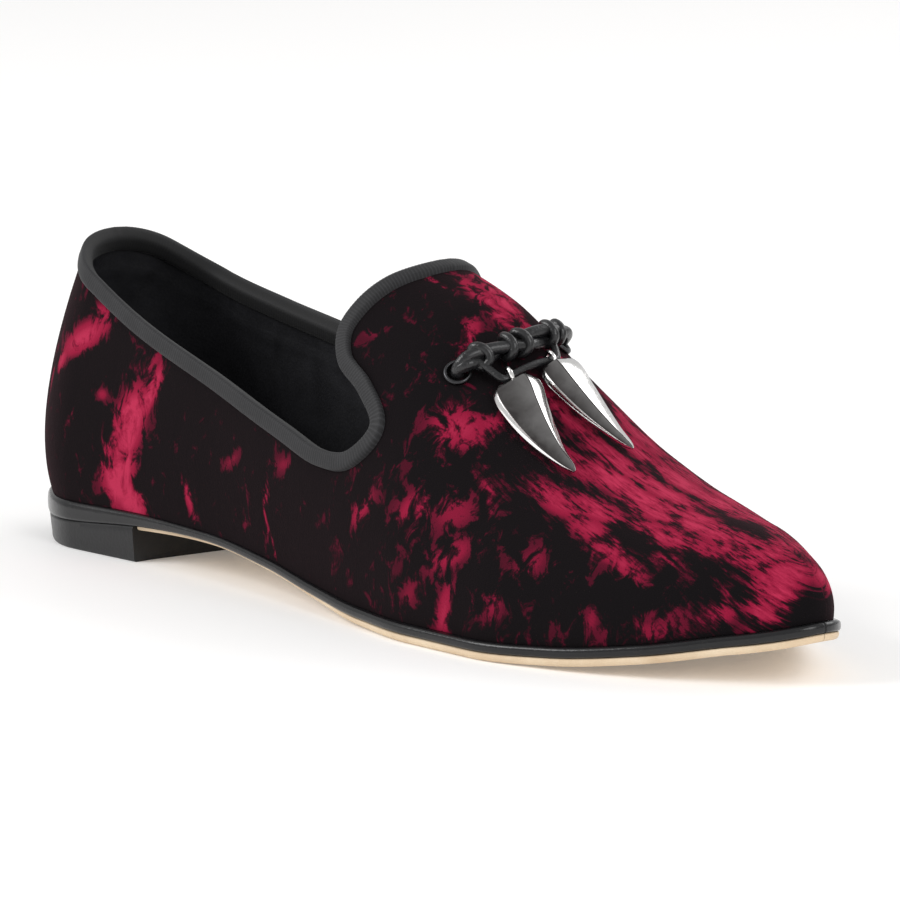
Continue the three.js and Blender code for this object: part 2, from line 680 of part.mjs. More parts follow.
const loafer = new THREE.Group();
loafer.name = "velvet_loafer";
loafer.add(
  meshOf("outsole", makeOutsole(), 0xd8c3a0, { roughness: 0.6 }),
  meshOf("midsole", makeMidsole(), 0x141414, { roughness: 0.35 }),
  meshOf("heel", makeHeel(), 0x1a1a1a, { roughness: 0.45 }),
  meshOf("insole", makeInsole(), 0x1c1b1b, { roughness: 0.7 }),
  meshOf("upper", makeUpper(), 0x4a1020, { roughness: 0.9 }),
  meshOf("collar_binding", makeBinding(), 0x2c2c2e, { roughness: 0.8 }),
  meshOf("eyelet_lateral", makeEyelet(LATERAL), 0x3a3a3c, { metalness: 0.9, roughness: 0.35 }),
  meshOf("eyelet_medial", makeEyelet(MEDIAL), 0x3a3a3c, { metalness: 0.9, roughness: 0.35 }),
  meshOf("knot_cord", makeKnot(), 0x161616, { roughness: 0.4 }),
  meshOf("pendant_lateral", makeTusk("pendant_lateral"), 0x8a8786, { metalness: 1, roughness: 0.2 }),
  meshOf("pendant_medial", makeTusk("pendant_medial"), 0x8a8786, { metalness: 1, roughness: 0.2 }),
);

// The floor is z = 0 and the middle of the outline is the origin
const box = new THREE.Box3().setFromObject(loafer);
const centre = box.getCenter(new THREE.Vector3());
for (const mesh of loafer.children) mesh.geometry.translate(-centre.x, -centre.y, -box.min.z);

export default loafer;
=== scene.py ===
"""Looks of a low velvet loafer for the right foot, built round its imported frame."""

import math

import bpy
import numpy as np
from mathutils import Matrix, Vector


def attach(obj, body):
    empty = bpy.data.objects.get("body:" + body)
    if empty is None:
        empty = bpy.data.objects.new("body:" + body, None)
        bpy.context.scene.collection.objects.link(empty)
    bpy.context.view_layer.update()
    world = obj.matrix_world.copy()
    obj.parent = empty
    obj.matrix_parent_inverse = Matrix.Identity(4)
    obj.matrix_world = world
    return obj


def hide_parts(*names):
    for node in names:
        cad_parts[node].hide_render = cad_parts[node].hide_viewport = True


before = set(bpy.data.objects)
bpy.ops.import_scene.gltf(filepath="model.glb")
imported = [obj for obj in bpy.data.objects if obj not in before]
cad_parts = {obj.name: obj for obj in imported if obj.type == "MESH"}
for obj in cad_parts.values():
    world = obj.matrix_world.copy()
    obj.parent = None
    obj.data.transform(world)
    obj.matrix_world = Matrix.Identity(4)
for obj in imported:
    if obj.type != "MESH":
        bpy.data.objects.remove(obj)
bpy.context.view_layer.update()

# Sizes of the shoe, in millimetres in the last's own frame: x from the back of the heel to the toe,
# -y to the outer side of the foot, z from the floor
MM = 0.001
SHIFT = np.array([126.690, -0.951, 0.0])  # what the shared frame takes off
LENGTH = 254.0
WALL = 2.0
VELVET = 0.9  # thickness of the outer cloth
FIT_GAP = 0.3
LATERAL = -1
MEDIAL = 1
HEEL_PIVOT = 30.0
TOE_PIVOT = LENGTH - 30.0
BODY = "shoe"


def columns_of(names, rows):
    """A short table as a dictionary of named columns."""
    return dict(zip(names.split(), np.array(rows, float).T))


FEATHER = columns_of(
    "station lateral medial feather",
    [
        (0.00, 0, 0, 11.6),
        (0.03, 18.2, 18, 11.6),
        (0.10, 26.2, 25.5, 11.7),
        (0.20, 25.7, 25.5, 12),
        (0.30, 26.2, 24, 11.4),
        (0.40, 28.6, 23.5, 9.2),
        (0.48, 31.8, 25.5, 6.6),
        (0.56, 35.2, 29, 4.8),
        (0.64, 37.8, 33.5, 4.4),
        (0.72, 37.8, 36, 4.4),
        (0.80, 33.3, 34, 5.2),
        (0.88, 25, 26.5, 7.6),
        (0.95, 13.5, 15, 11),
        (1.00, -0.5, 0.5, 14),
    ],
)
RIBS = columns_of(
    "station ridge_y ridge_z bulge wall crown",
    [
        (0.00, 0, 112, 12, 0.28, 0.06),
        (0.03, 0, 112, 10, 0.29, 0.08),
        (0.10, 0, 112, 7, 0.31, 0.17),
        (0.20, 0, 110, 4.5, 0.4, 0.42),
        (0.30, 0, 103, 4, 0.46, 0.6),
        (0.40, 0.5, 87, 4, 0.6, 0.68),
        (0.48, 1, 80.2, 3.5, 0.6, 0.66),
        (0.56, 2, 73.2, 3, 0.58, 0.6),
        (0.64, 3, 58.4, 2.6, 0.56, 0.58),
        (0.72, 3.5, 44.8, 2.2, 0.56, 0.58),
        (0.80, 3.5, 36.5, 2, 0.58, 0.6),
        (0.88, 3, 31.9, 1.8, 0.6, 0.62),
        (0.95, 2.5, 30, 1.6, 0.62, 0.62),
        (1.00, 2, 28.8, 1.5, 0.62, 0.62),
    ],
)
# The raw top edge from the side; rise is how much higher the inner side lies
TOPLINE = columns_of(
    "x z rise",
    [
        (10, 72.2, 0),
        (22, 67, -3.4),
        (48, 57.2, -0.6),
        (78, 48.8, 2.8),
        (108, 40.8, 3),
        (124, 37.2, 2.5),
        (135, 38.2, 1.5),
        (141.5, 45, 1),
        (134.5, 52, 0.5),
        (125, 57.6, 0),
        (121.8, 63.6, 0),
        (123, 69.4, 0),
        (126, 74.6, 0),
        (130, 78.6, 0),
    ],
)
SOLE = columns_of(
    "station ledge midsole outsole tuck",
    [
        (0.00, 1.1, 5.4, 1, 1),
        (0.10, 1.1, 4.4, 1, 1.4),
        (0.20, 0.9, 2.8, 1, 1.8),
        (0.30, 0.8, 1.8, 1, 2),
        (0.45, 1.1, 1.9, 1.2, 1.4),
        (0.56, 1.5, 2.1, 1.6, 0.6),
        (0.64, 1.6, 2.1, 1.7, 0.3),
        (0.72, 1.6, 2.1, 1.7, 0.3),
        (1.00, 1.6, 2.2, 1.7, 0.4),
    ],
)
INSOLE = 2.2
BREAST_X = 50.5
BREAST_SKEW = math.radians(4.5)
BINDING = {"width": 3.2, "thick": 0.75, "gap": 0.5}
EYELET = {"x": 155, "middle": -2, "reach": 15, "hole": 2.3, "flange": 3.3, "height": 1}
CORD = {"radius": 1.45, "middle_x": 158.3, "rise": 3.5, "wrap": 1.08}
HANGER = {"radius": 0.9, "x": 163.6, "rise": 2.9}


# The last
def around_of(share):
    return np.arccos(np.clip(1 - 2 * np.asarray(share, float), -1, 1)) / np.pi


def share_of(around):
    return (1 - np.cos(np.pi * np.asarray(around, float))) / 2


def smooth_column(station, value, level):
    """A column as a cubic of the position round the outline that never overshoots its rows."""
    at = around_of(station)
    step = np.diff(at)
    rise = np.diff(value) / step
    slope = np.zeros_like(value)
    if not level:
        slope[0], slope[-1] = rise[0], rise[-1]
    product = rise[:-1] * rise[1:]
    total = np.where(product > 0, rise[:-1] + rise[1:], 1)
    slope[1:-1] = np.where(product > 0, 2 * product / total, 0)

    def column(around):
        around = np.asarray(around, float)
        i = np.clip(np.searchsorted(at, around, side="left") - 1, 0, len(at) - 2)
        t = (around - at[i]) / step[i]
        here = (2 * t**3 - 3 * t**2 + 1) * value[i] + (t**3 - 2 * t**2 + t) * step[i] * slope[i]
        after = (3 * t**2 - 2 * t**3) * value[i + 1] + (t**3 - t**2) * step[i] * slope[i + 1]
        return here + after

    return column


def smooth_table(table):
    sides = ("lateral", "medial")
    return {k: smooth_column(table["station"], v, k not in sides) for k, v in table.items()}


last = {**smooth_table(FEATHER), **smooth_table(RIBS)}
sole = smooth_table(SOLE)


def outline_point(side, around):
    reach = last["lateral"](around) if side == LATERAL else last["medial"](around)
    return np.stack([LENGTH * share_of(around), side * reach], -1)


def outline_normal(side, around):
    around = np.asarray(around, float)
    nudge = 1e-3
    ahead = outline_point(side, np.minimum(around + nudge, 1))
    along = ahead - outline_point(side, np.maximum(around - nudge, 0))
    along /= np.linalg.norm(along, axis=-1, keepdims=True)
    normal = np.stack([-side * along[..., 1], side * along[..., 0]], -1)
    normal = np.where((around == 0)[..., None], [-1.0, 0.0], normal)
    return np.where((around == 1)[..., None], [1.0, 0.0], normal)


def grown_outline(side, around, grow):
    return outline_point(side, around) + outline_normal(side, around) * np.asarray(grow)[..., None]


def ridge_point(around):
    x = np.clip(LENGTH * share_of(around), HEEL_PIVOT, TOE_PIVOT)
    at = around_of(x / LENGTH)
    nudge = 0.01
    run = LENGTH * (share_of(at + nudge) - share_of(at - nudge))
    slope = (last["ridge_z"](at + nudge) - last["ridge_z"](at - nudge)) / run
    return x, last["ridge_y"](at), last["ridge_z"](at), slope


def last_point(side, around, up, grow=0.0):
    """A point of the last: up is 0 on the feather edge and 1 on the ridge, and grow thickens the form."""
    around, up, grow = np.broadcast_arrays(
        np.asarray(around, float), np.asarray(up, float), np.asarray(grow, float)
    )
    out = outline_normal(side, around)
    foot = outline_point(side, around) + out * grow[..., None]
    x, y, z, slope = ridge_point(around)
    feather = last["feather"](around)
    top = z + grow
    bulge = last["bulge"](around)
    crown = last["crown"](around)
    run = (foot[..., 0] - x) * crown
    shoulder = feather + (top - feather) * last["wall"](around)
    corners = (
        np.stack([foot[..., 0], foot[..., 1], feather], -1),
        np.stack([foot[..., 0] + out[..., 0] * bulge, foot[..., 1] + out[..., 1] * bulge, shoulder], -1),
        np.stack([x + run, y + (foot[..., 1] - y) * crown, top + slope * run], -1),
        np.stack([x, y, top], -1),
    )
    t = up[..., None]
    weights = ((1 - t) ** 3, 3 * (1 - t) ** 2 * t, 3 * (1 - t) * t**2, t**3)
    return sum(w * c for w, c in zip(weights, corners))


def root_of(test, low, high, shape=()):
    """Bisection for the places where a rising function passes zero."""
    low = np.full(shape, low, float)
    high = np.full(shape, high, float)
    for _ in range(32):
        middle = (low + high) / 2
        below = test(middle) < 0
        low = np.where(below, middle, low)
        high = np.where(below, high, middle)
    return (low + high) / 2


def place_from_side(side, x, z):
    def up_at(around):
        return root_of(lambda up: last_point(side, around, up)[..., 2] - z, 0, 1, np.shape(z))

    around = root_of(lambda a: last_point(side, a, up_at(a))[..., 0] - x, 0, 1, np.shape(x))
    return around, up_at(around)


def place_from_above(x, y):
    around = around_of(x / LENGTH)
    side = LATERAL if y < last["ridge_y"](around) else MEDIAL
    up = root_of(lambda u: -side * (last_point(side, around, u)[..., 1] - y), 0.35, 1)
    return side, around, up


def resample(points, count):
    """Points spread evenly along a chain of points."""
    points = np.asarray(points, float)
    length = np.r_[0, np.cumsum(np.linalg.norm(np.diff(points, axis=0), axis=1))]
    wanted = np.linspace(0, length[-1], count)
    return np.stack([np.interp(wanted, length, points[:, k]) for k in range(points.shape[1])], -1)


def smooth_path(points, count):
    """Points spread evenly along a smooth curve through the given ones."""
    given = np.asarray(points, float)
    ends = np.vstack([2 * given[0] - given[1], given, 2 * given[-1] - given[-2]])
    fine = []
    for p0, p1, p2, p3 in zip(ends, ends[1:], ends[2:], ends[3:]):
        t0 = 0.0
        t1 = t0 + np.linalg.norm(p1 - p0) ** 0.5
        t2 = t1 + np.linalg.norm(p2 - p1) ** 0.5
        t3 = t2 + np.linalg.norm(p3 - p2) ** 0.5
        t = np.linspace(t1, t2, 40, endpoint=False)[:, None]
        a1 = (t1 - t) / (t1 - t0) * p0 + (t - t0) / (t1 - t0) * p1
        a2 = (t2 - t) / (t2 - t1) * p1 + (t - t1) / (t2 - t1) * p2
        a3 = (t3 - t) / (t3 - t2) * p2 + (t - t2) / (t3 - t2) * p3
        b1 = (t2 - t) / (t2 - t0) * a1 + (t - t0) / (t2 - t0) * a2
        b2 = (t3 - t) / (t3 - t1) * a2 + (t - t1) / (t3 - t1) * a3
        fine.append((t2 - t) / (t2 - t1) * b1 + (t - t1) / (t2 - t1) * b2)
    return resample(np.vstack([*fine, given[-1:]]), count)


def measured_topline(side):
    """The top edge as places on the last, closely spaced, with the length up to each."""
    x = TOPLINE["x"].copy()
    z = TOPLINE["z"] + (TOPLINE["rise"] if side == MEDIAL else 0)
    back_up = root_of(lambda up: last_point(side, 0.0, up)[..., 2] - z[0], 0, 1)
    back = last_point(side, 0.0, back_up)
    tongue_around = around_of(x[-1] / LENGTH)
    tongue = last_point(side, tongue_around, 1.0)
    x[0], z[0] = back[0], back[2]
    x[-1], z[-1] = tongue[0], tongue[2]
    seen = smooth_path(np.stack([x, z], -1), 600)
    around, up = place_from_side(side, seen[:, 0], seen[:, 1])
    around[0], up[0] = 0.0, back_up
    around[-1], up[-1] = tongue_around, 1.0
    points = last_point(side, around, up)
    length = np.r_[0, np.cumsum(np.linalg.norm(np.diff(points, axis=0), axis=1))]
    return around, up, length


TOP_EDGE = {side: measured_topline(side) for side in (LATERAL, MEDIAL)}


def topline_places(side, count):
    """Places on the top edge, evenly spaced from the back seam to the tongue's middle."""
    around, up, length = TOP_EDGE[side]
    wanted = np.linspace(0, length[-1], count + 1)
    return np.interp(wanted, length, around), np.interp(wanted, length, up)


def flat_point(side, around, up):
    """The last laid flat, rib by rib, round its ridge."""
    x, y, _, _ = ridge_point(around)
    foot = outline_point(side, around)
    spine = np.stack([x, y], -1)
    return foot + (spine - foot) * np.asarray(up)[..., None]


def place_from_flat(side, point):
    x, y = point[..., 0], point[..., 1]
    around = around_of(np.clip(x, HEEL_PIVOT, TOE_PIVOT) / LENGTH)

    def turn(a):
        ridge_x, ridge_y, _, _ = ridge_point(a)
        foot = outline_point(side, a)
        rib_x, rib_y = foot[..., 0] - ridge_x, foot[..., 1] - ridge_y
        return side * (rib_x * (y - ridge_y) - rib_y * (x - ridge_x))

    heel_end = around_of(HEEL_PIVOT / LENGTH)
    toe_start = around_of(TOE_PIVOT / LENGTH)
    around = np.where(x < HEEL_PIVOT, root_of(turn, 0, heel_end, x.shape), around)
    around = np.where(x > TOE_PIVOT, root_of(turn, toe_start, 1, x.shape), around)
    ridge_x, ridge_y, _, _ = ridge_point(around)
    foot = outline_point(side, around)
    reach = np.hypot(foot[..., 0] - ridge_x, foot[..., 1] - ridge_y)
    left = np.hypot(x - ridge_x, y - ridge_y)
    return around, 1 - left / reach


def upper_places(side, count, shares):
    """Places of the upper by column, from the back seam to the middle of the vamp, and by row."""
    edge_around, edge_up = topline_places(side, count)
    s = np.linspace(0, 1, count + 1)[:, None]
    r = np.asarray(shares)[None, :]
    toe = outline_point(side, 1.0)
    tongue = flat_point(side, edge_around[-1], edge_up[-1])
    x = toe[0] + (tongue[0] - toe[0]) * r[0]
    middle_around = np.where(x <= TOE_PIVOT, around_of(np.minimum(x, TOE_PIVOT) / LENGTH), 1.0)
    middle_up = np.where(x <= TOE_PIVOT, 1.0, (toe[0] - x) / (toe[0] - TOE_PIVOT))
    middle = flat_point(side, middle_around, middle_up)
    foot = outline_point(side, s)
    top = flat_point(side, edge_around, edge_up)[:, None, :]
    point = foot + (top - foot) * r[..., None]
    point[..., 1] += s * (middle[None, :, 1] - (toe[1] + (tongue[1] - toe[1]) * r))
    around, up = place_from_flat(side, point)
    up = np.maximum(up, 0.5 * r * edge_up[:, None])
    around[:, 0], up[:, 0] = s[:, 0], 0.0
    around[:, -1], up[:, -1] = edge_around, edge_up
    around[0], up[0] = 0.0, edge_up[0] * r[0]
    around[-1], up[-1] = middle_around, middle_up
    return around, up


# Meshes
def grid_faces(rows, columns, wrap_rows, wrap_columns):
    """Quads of a grid of rows by columns points, joined at its ends where wrapped."""
    i = np.arange(rows if wrap_rows else rows - 1)[:, None]
    j = np.arange(columns if wrap_columns else columns - 1)[None, :]
    below = (i + 1) % rows
    right = (j + 1) % columns
    corners = (i * columns + j, i * columns + right, below * columns + right, below * columns + j)
    return np.stack(np.broadcast_arrays(*corners), -1).reshape(-1, 4)


def add_mesh(name, points, faces, material, body=BODY, replaces=(), sharp=40.0, marks=None):
    """A piece from points in the last's frame, welded, turned outward and smooth but for sharp edges.

    faces has four corners a row, the last one repeated for a triangle. marks holds values by point."""
    points = np.asarray(points, float).reshape(-1, 3)
    rounded = np.round(points * 1e4).astype(np.int64)
    _, first, index = np.unique(rounded, axis=0, return_index=True, return_inverse=True)
    points = points[first]
    corner = index.reshape(-1)[np.asarray(faces)]
    a, b, c, d = (points[corner[:, k]] for k in range(4))
    volume = np.sum(a * np.cross(b, c)) + np.sum(a * np.cross(c, d))
    if volume < 0:
        corner = corner[:, ::-1]
    doubled = np.any(corner == np.roll(corner, 1, axis=1), axis=1)
    kept = corner[~doubled].tolist()
    for row in corner[doubled].tolist():
        face = [v for k, v in enumerate(row) if v != row[k - 1]]
        if len(set(face)) > 2:
            kept.append(face)
    mesh = bpy.data.meshes.new(name)
    mesh.from_pydata(((points - SHIFT) * MM).tolist(), [], kept)
    mesh.polygons.foreach_set("use_smooth", [True] * len(mesh.polygons))
    mesh.set_sharp_from_angle(angle=math.radians(sharp))
    mesh.materials.append(material)
    for key, value in (marks or {}).items():
        value = np.asarray(value, np.float32)
        if value.ndim == 2:
            layer = mesh.attributes.new(key, "FLOAT_VECTOR", "POINT")
            layer.data.foreach_set("vector", value[first].ravel())
        else:
            layer = mesh.attributes.new(key, "FLOAT", "POINT")
            layer.data.foreach_set("value", value[first])
    piece = bpy.data.objects.new(name, mesh)
    bpy.context.scene.collection.objects.link(piece)
    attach(piece, body)
    if replaces:
        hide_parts(*replaces)
    return piece


def join(parts):
    """Several (points, faces) pairs as one pair."""
    points, faces, offset = [], [], 0
    for part_points, part_faces in parts:
        part_points = np.asarray(part_points, float).reshape(-1, 3)
        points.append(part_points)
        faces.append(np.asarray(part_faces) + offset)
        offset += len(part_points)
    return np.vstack(points), np.vstack(faces)


def loft(rings, closed=False):
    """Rings of points joined ring to ring, either closed on themselves or ended by fans."""
    rings = np.asarray(rings, float)
    count, size = rings.shape[:2]
    faces = grid_faces(count, size, closed, True)
    points = rings.reshape(-1, 3)
    if closed:
        return points, faces
    middles = [rings[0].mean(0), rings[-1].mean(0)]
    j = np.arange(size)
    start = np.stack([(j + 1) % size, j, np.full(size, len(points)), np.full(size, len(points))], -1)
    end_row = (count - 1) * size
    end = np.stack([end_row + j, end_row + (j + 1) % size, *[np.full(size, len(points) + 1)] * 2], -1)
    return np.vstack([points, middles]), np.vstack([faces, start, end])


def tube(path, radius, sides, closed=False):
    """A round cord along a chain of points; radius may change from point to point."""
    path = np.asarray(path, float)
    radius = np.broadcast_to(np.asarray(radius, float), len(path))
    ahead = np.roll(path, -1, axis=0) - np.roll(path, 1, axis=0)
    if not closed:
        ahead[0], ahead[-1] = path[1] - path[0], path[-1] - path[-2]
    ahead /= np.linalg.norm(ahead, axis=1, keepdims=True)
    across = np.cross(ahead[0], [0.3, 0.2, 0.93])
    rings = []
    turn = np.linspace(0, 2 * np.pi, sides, endpoint=False)[:, None]
    for point, direction, r in zip(path, ahead, radius):
        across = across - direction * np.dot(across, direction)
        across /= np.linalg.norm(across)
        other = np.cross(direction, across)
        rings.append(point + r * (np.cos(turn) * across + np.sin(turn) * other))
    return loft(rings, closed)


def both_halves(lateral, medial):
    """Columns from the back seam down the outer side to the toe and back by the inner side."""
    return np.concatenate([lateral, medial[-2:0:-1]])


# Materials
class Shader:
    """A node material, made node by node."""

    def __init__(self, name, **values):
        self.material = bpy.data.materials.new(name)
        self.material.use_nodes = True
        self.tree = self.material.node_tree
        self.surface = self.tree.nodes["Principled BSDF"]
        for key, value in values.items():
            self.surface.inputs[key.replace("_", " ").title().replace("Ior", "IOR")].default_value = value

    def node(self, kind, inputs=None, **settings):
        made = self.tree.nodes.new("ShaderNode" + kind)
        for key, value in settings.items():
            setattr(made, key, value)
        for key, value in (inputs or {}).items():
            if isinstance(value, bpy.types.NodeSocket):
                self.tree.links.new(value, made.inputs[key])
            else:
                made.inputs[key].default_value = value
        return made

    def put(self, socket, key):
        self.tree.links.new(socket, self.surface.inputs[key])

    def place(self):
        return self.node("TexCoord").outputs["Object"]

    def attribute(self, name, kind="Fac"):
        return self.node("Attribute", attribute_name=name).outputs[kind]

    def noise(self, vector, scale, detail=2.0, roughness=0.5, distortion=0.0):
        inputs = {"Vector": vector, "Scale": scale, "Detail": detail}
        inputs.update({"Roughness": roughness, "Distortion": distortion})
        return self.node("TexNoise", inputs).outputs["Fac"]

    def stretched(self, vector, scale, rotation=0.0):
        inputs = {"Vector": vector, "Scale": scale, "Rotation": (0.0, 0.0, rotation)}
        return self.node("Mapping", inputs).outputs["Vector"]

    def math(self, operation, a, b=0.0, clamp=False):
        made = self.node("Math", {0: a, 1: b}, operation=operation)
        made.use_clamp = clamp
        return made.outputs[0]

    def ramp(self, value, stops):
        made = self.node("ValToRGB", {"Fac": value})
        elements = made.color_ramp.elements
        while len(elements) < len(stops):
            elements.new(0.5)
        for element, (at, color) in zip(elements, stops):
            element.position = at
            element.color = (*color, 1.0) if len(color) == 3 else color
        return made.outputs["Color"]

    def grey(self, value, stops):
        return self.ramp(value, [(at, (v, v, v)) for at, v in stops])

    def bump(self, height, strength, distance):
        inputs = {"Height": height, "Strength": strength, "Distance": distance}
        self.put(self.node("Bump", inputs).outputs["Normal"], "Normal")


# The nap of the velvet: crushed marks placed on the last. station is the share of the length, up the
# share of the rib from the feather edge to the ridge, long and wide the size of the mark, lean its
# direction in degrees from the toe towards the ridge, and light how far the pile is turned.
CRUSHED = columns_of(
    "side station up long wide lean light",
    [
        (LATERAL, 0.105, 0.33, 24, 8, 28, 0.85),
        (LATERAL, 0.07, 0.285, 10, 6, 50, 0.8),
        (LATERAL, 0.13, 0.37, 10, 5, -10, 0.75),
        (LATERAL, 0.215, 0.225, 26, 5.5, 60, 0.9),
        (LATERAL, 0.185, 0.165, 26, 12, 65, 1.0),
        (LATERAL, 0.172, 0.09, 27, 14, 85, 1.0),
        (LATERAL, 0.19, 0.02, 15, 13, 125, 0.95),
        (LATERAL, 0.215, 0.285, 14, 6, 35, 0.6),
        (LATERAL, 0.145, 0.225, 5, 3.5, 0, 0.65),
        (LATERAL, 0.098, 0.17, 15, 2.2, 70, 0.55),
        (LATERAL, 0.05, 0.25, 14, 2.4, 75, 0.55),
        (LATERAL, 0.262, 0.16, 13, 2.4, 72, 0.55),
        (LATERAL, 0.275, 0.06, 14, 3.6, 112, 0.8),
        (LATERAL, 0.402, 0.115, 13, 1.7, 84, 0.75),
        (LATERAL, 0.4, 0.07, 12, 1.6, 97, 0.8),
        (LATERAL, 0.412, 0.022, 14, 1.6, 114, 0.8),
        (LATERAL, 0.432, 0.19, 10, 4.5, 20, 0.55),
        (LATERAL, 0.345, 0.145, 11, 3, 35, 0.55),
        (LATERAL, 0.365, 0.045, 7, 2.2, 100, 0.5),
        (LATERAL, 0.315, 0.225, 10, 2.6, 40, 0.45),
        (LATERAL, 0.56, 0.2, 15, 6, 48, 0.65),
        (LATERAL, 0.63, 0.29, 13, 9, 40, 0.65),
        (LATERAL, 0.685, 0.235, 16, 7, 35, 0.6),
        (LATERAL, 0.685, 0.05, 18, 5, 78, 0.75),
        (LATERAL, 0.64, 0.08, 11, 6, 60, 0.45),
        (LATERAL, 0.53, 0.88, 10, 2.6, 5, 0.65),
        (LATERAL, 0.545, 0.77, 10, 3, -35, 0.65),
        (LATERAL, 0.515, 0.6, 7, 3, 0, 0.45),
        (LATERAL, 0.592, 0.82, 13, 5, -60, 0.8),
        (LATERAL, 0.605, 0.74, 12, 5, -40, 0.7),
        (LATERAL, 0.64, 0.58, 17, 12, 5, 0.75),
        (LATERAL, 0.685, 0.52, 11, 4, -40, 0.55),
        (LATERAL, 0.675, 0.36, 15, 11, 20, 0.5),
        (LATERAL, 0.575, 0.97, 28, 6, 0, 0.85),
        (LATERAL, 0.735, 0.79, 24, 7, 0, 0.85),
        (LATERAL, 0.775, 0.84, 28, 8, 0, 0.95),
        (LATERAL, 0.755, 0.62, 18, 7, -8, 0.8),
        (LATERAL, 0.79, 0.67, 18, 7, 0, 0.85),
        (LATERAL, 0.82, 0.82, 24, 9, 0, 1.0),
        (LATERAL, 0.865, 0.85, 24, 9, 0, 1.0),
        (LATERAL, 0.92, 0.8, 22, 9, 0, 0.95),
        (LATERAL, 0.96, 0.6, 18, 9, 0, 0.9),
        (LATERAL, 0.99, 0.4, 16, 10, 60, 0.9),
        (LATERAL, 0.995, 0.65, 18, 10, 80, 0.95),
        (LATERAL, 0.98, 0.22, 18, 10, 75, 0.95),
        (LATERAL, 0.94, 0.12, 14, 6, 30, 0.6),
        (LATERAL, 0.83, 0.5, 11, 7, 0, 0.8),
        (LATERAL, 0.885, 0.5, 9, 6, 0, 0.6),
        (LATERAL, 0.665, 0.68, 12, 6, 15, 0.7),
        (LATERAL, 0.7, 0.48, 12, 3, -55, 0.7),
        (LATERAL, 0.69, 0.93, 26, 6, 0, 0.85),
        (LATERAL, 0.75, 0.93, 30, 7, 0, 0.9),
        (LATERAL, 0.81, 0.94, 28, 7, 0, 0.9),
        (LATERAL, 0.8, 0.57, 14, 7, -5, 0.75),
        (LATERAL, 0.86, 0.68, 20, 7, 0, 0.85),
        (LATERAL, 0.91, 0.64, 16, 6, 0, 0.7),
        (LATERAL, 0.85, 0.44, 16, 5, -15, 0.75),
        (LATERAL, 0.945, 0.22, 16, 4, 88, 0.5),
        (LATERAL, 0.9, 0.12, 18, 7, 20, 0.4),
        (LATERAL, 0.84, 0.13, 7, 3.5, 90, 0.5),
        (LATERAL, 0.885, 0.06, 24, 6, 10, 0.5),
        (LATERAL, 0.77, 0.33, 11, 7, 60, 0.5),
        (LATERAL, 0.745, 0.14, 10, 6, 70, 0.5),
        (MEDIAL, 0.57, 0.93, 32, 9, 0, 0.95),
        (MEDIAL, 0.63, 0.86, 16, 6, 10, 0.7),
        (MEDIAL, 0.74, 0.93, 26, 7, 0, 0.9),
        (MEDIAL, 0.79, 0.92, 28, 8, 0, 0.95),
        (MEDIAL, 0.85, 0.9, 24, 8, 0, 0.95),
        (MEDIAL, 0.93, 0.7, 20, 9, 0, 0.9),
        (MEDIAL, 0.97, 0.6, 18, 10, 0, 0.95),
        (MEDIAL, 0.99, 0.3, 15, 9, 60, 0.85),
        (MEDIAL, 0.66, 0.9, 30, 8, 0, 0.9),
        (MEDIAL, 0.71, 0.8, 28, 9, 0, 0.85),
        (MEDIAL, 0.77, 0.78, 26, 9, 0, 0.9),
        (MEDIAL, 0.83, 0.76, 26, 9, 0, 0.85),
        (MEDIAL, 0.89, 0.8, 24, 9, 0, 0.95),
        (MEDIAL, 0.7, 0.66, 18, 8, -10, 0.75),
        (MEDIAL, 0.8, 0.6, 16, 8, -5, 0.7),
        (MEDIAL, 0.66, 0.42, 16, 9, 35, 0.6),
        (MEDIAL, 0.75, 0.28, 14, 7, 60, 0.6),
        (MEDIAL, 0.62, 0.2, 18, 7, 60, 0.7),
        (MEDIAL, 0.55, 0.28, 14, 6, 45, 0.6),
        (MEDIAL, 0.52, 0.08, 16, 4, 80, 0.7),
        (MEDIAL, 0.44, 0.16, 14, 3, 70, 0.55),
        (MEDIAL, 0.38, 0.1, 20, 7, 75, 0.85),
        (MEDIAL, 0.33, 0.2, 14, 5, 40, 0.6),
        (MEDIAL, 0.27, 0.06, 15, 3, 105, 0.6),
        (MEDIAL, 0.22, 0.2, 24, 9, 60, 0.95),
        (MEDIAL, 0.2, 0.1, 22, 11, 85, 0.95),
        (MEDIAL, 0.14, 0.3, 18, 6, 35, 0.75),
        (MEDIAL, 0.1, 0.14, 16, 4, 75, 0.6),
        (MEDIAL, 0.05, 0.3, 18, 6, 60, 0.75),
        (MEDIAL, 0.03, 0.1, 14, 4, 80, 0.6),
        (MEDIAL, 0.87, 0.2, 14, 6, 30, 0.55),
        (MEDIAL, 0.54, 0.7, 12, 5, 30, 0.6),
    ],
)


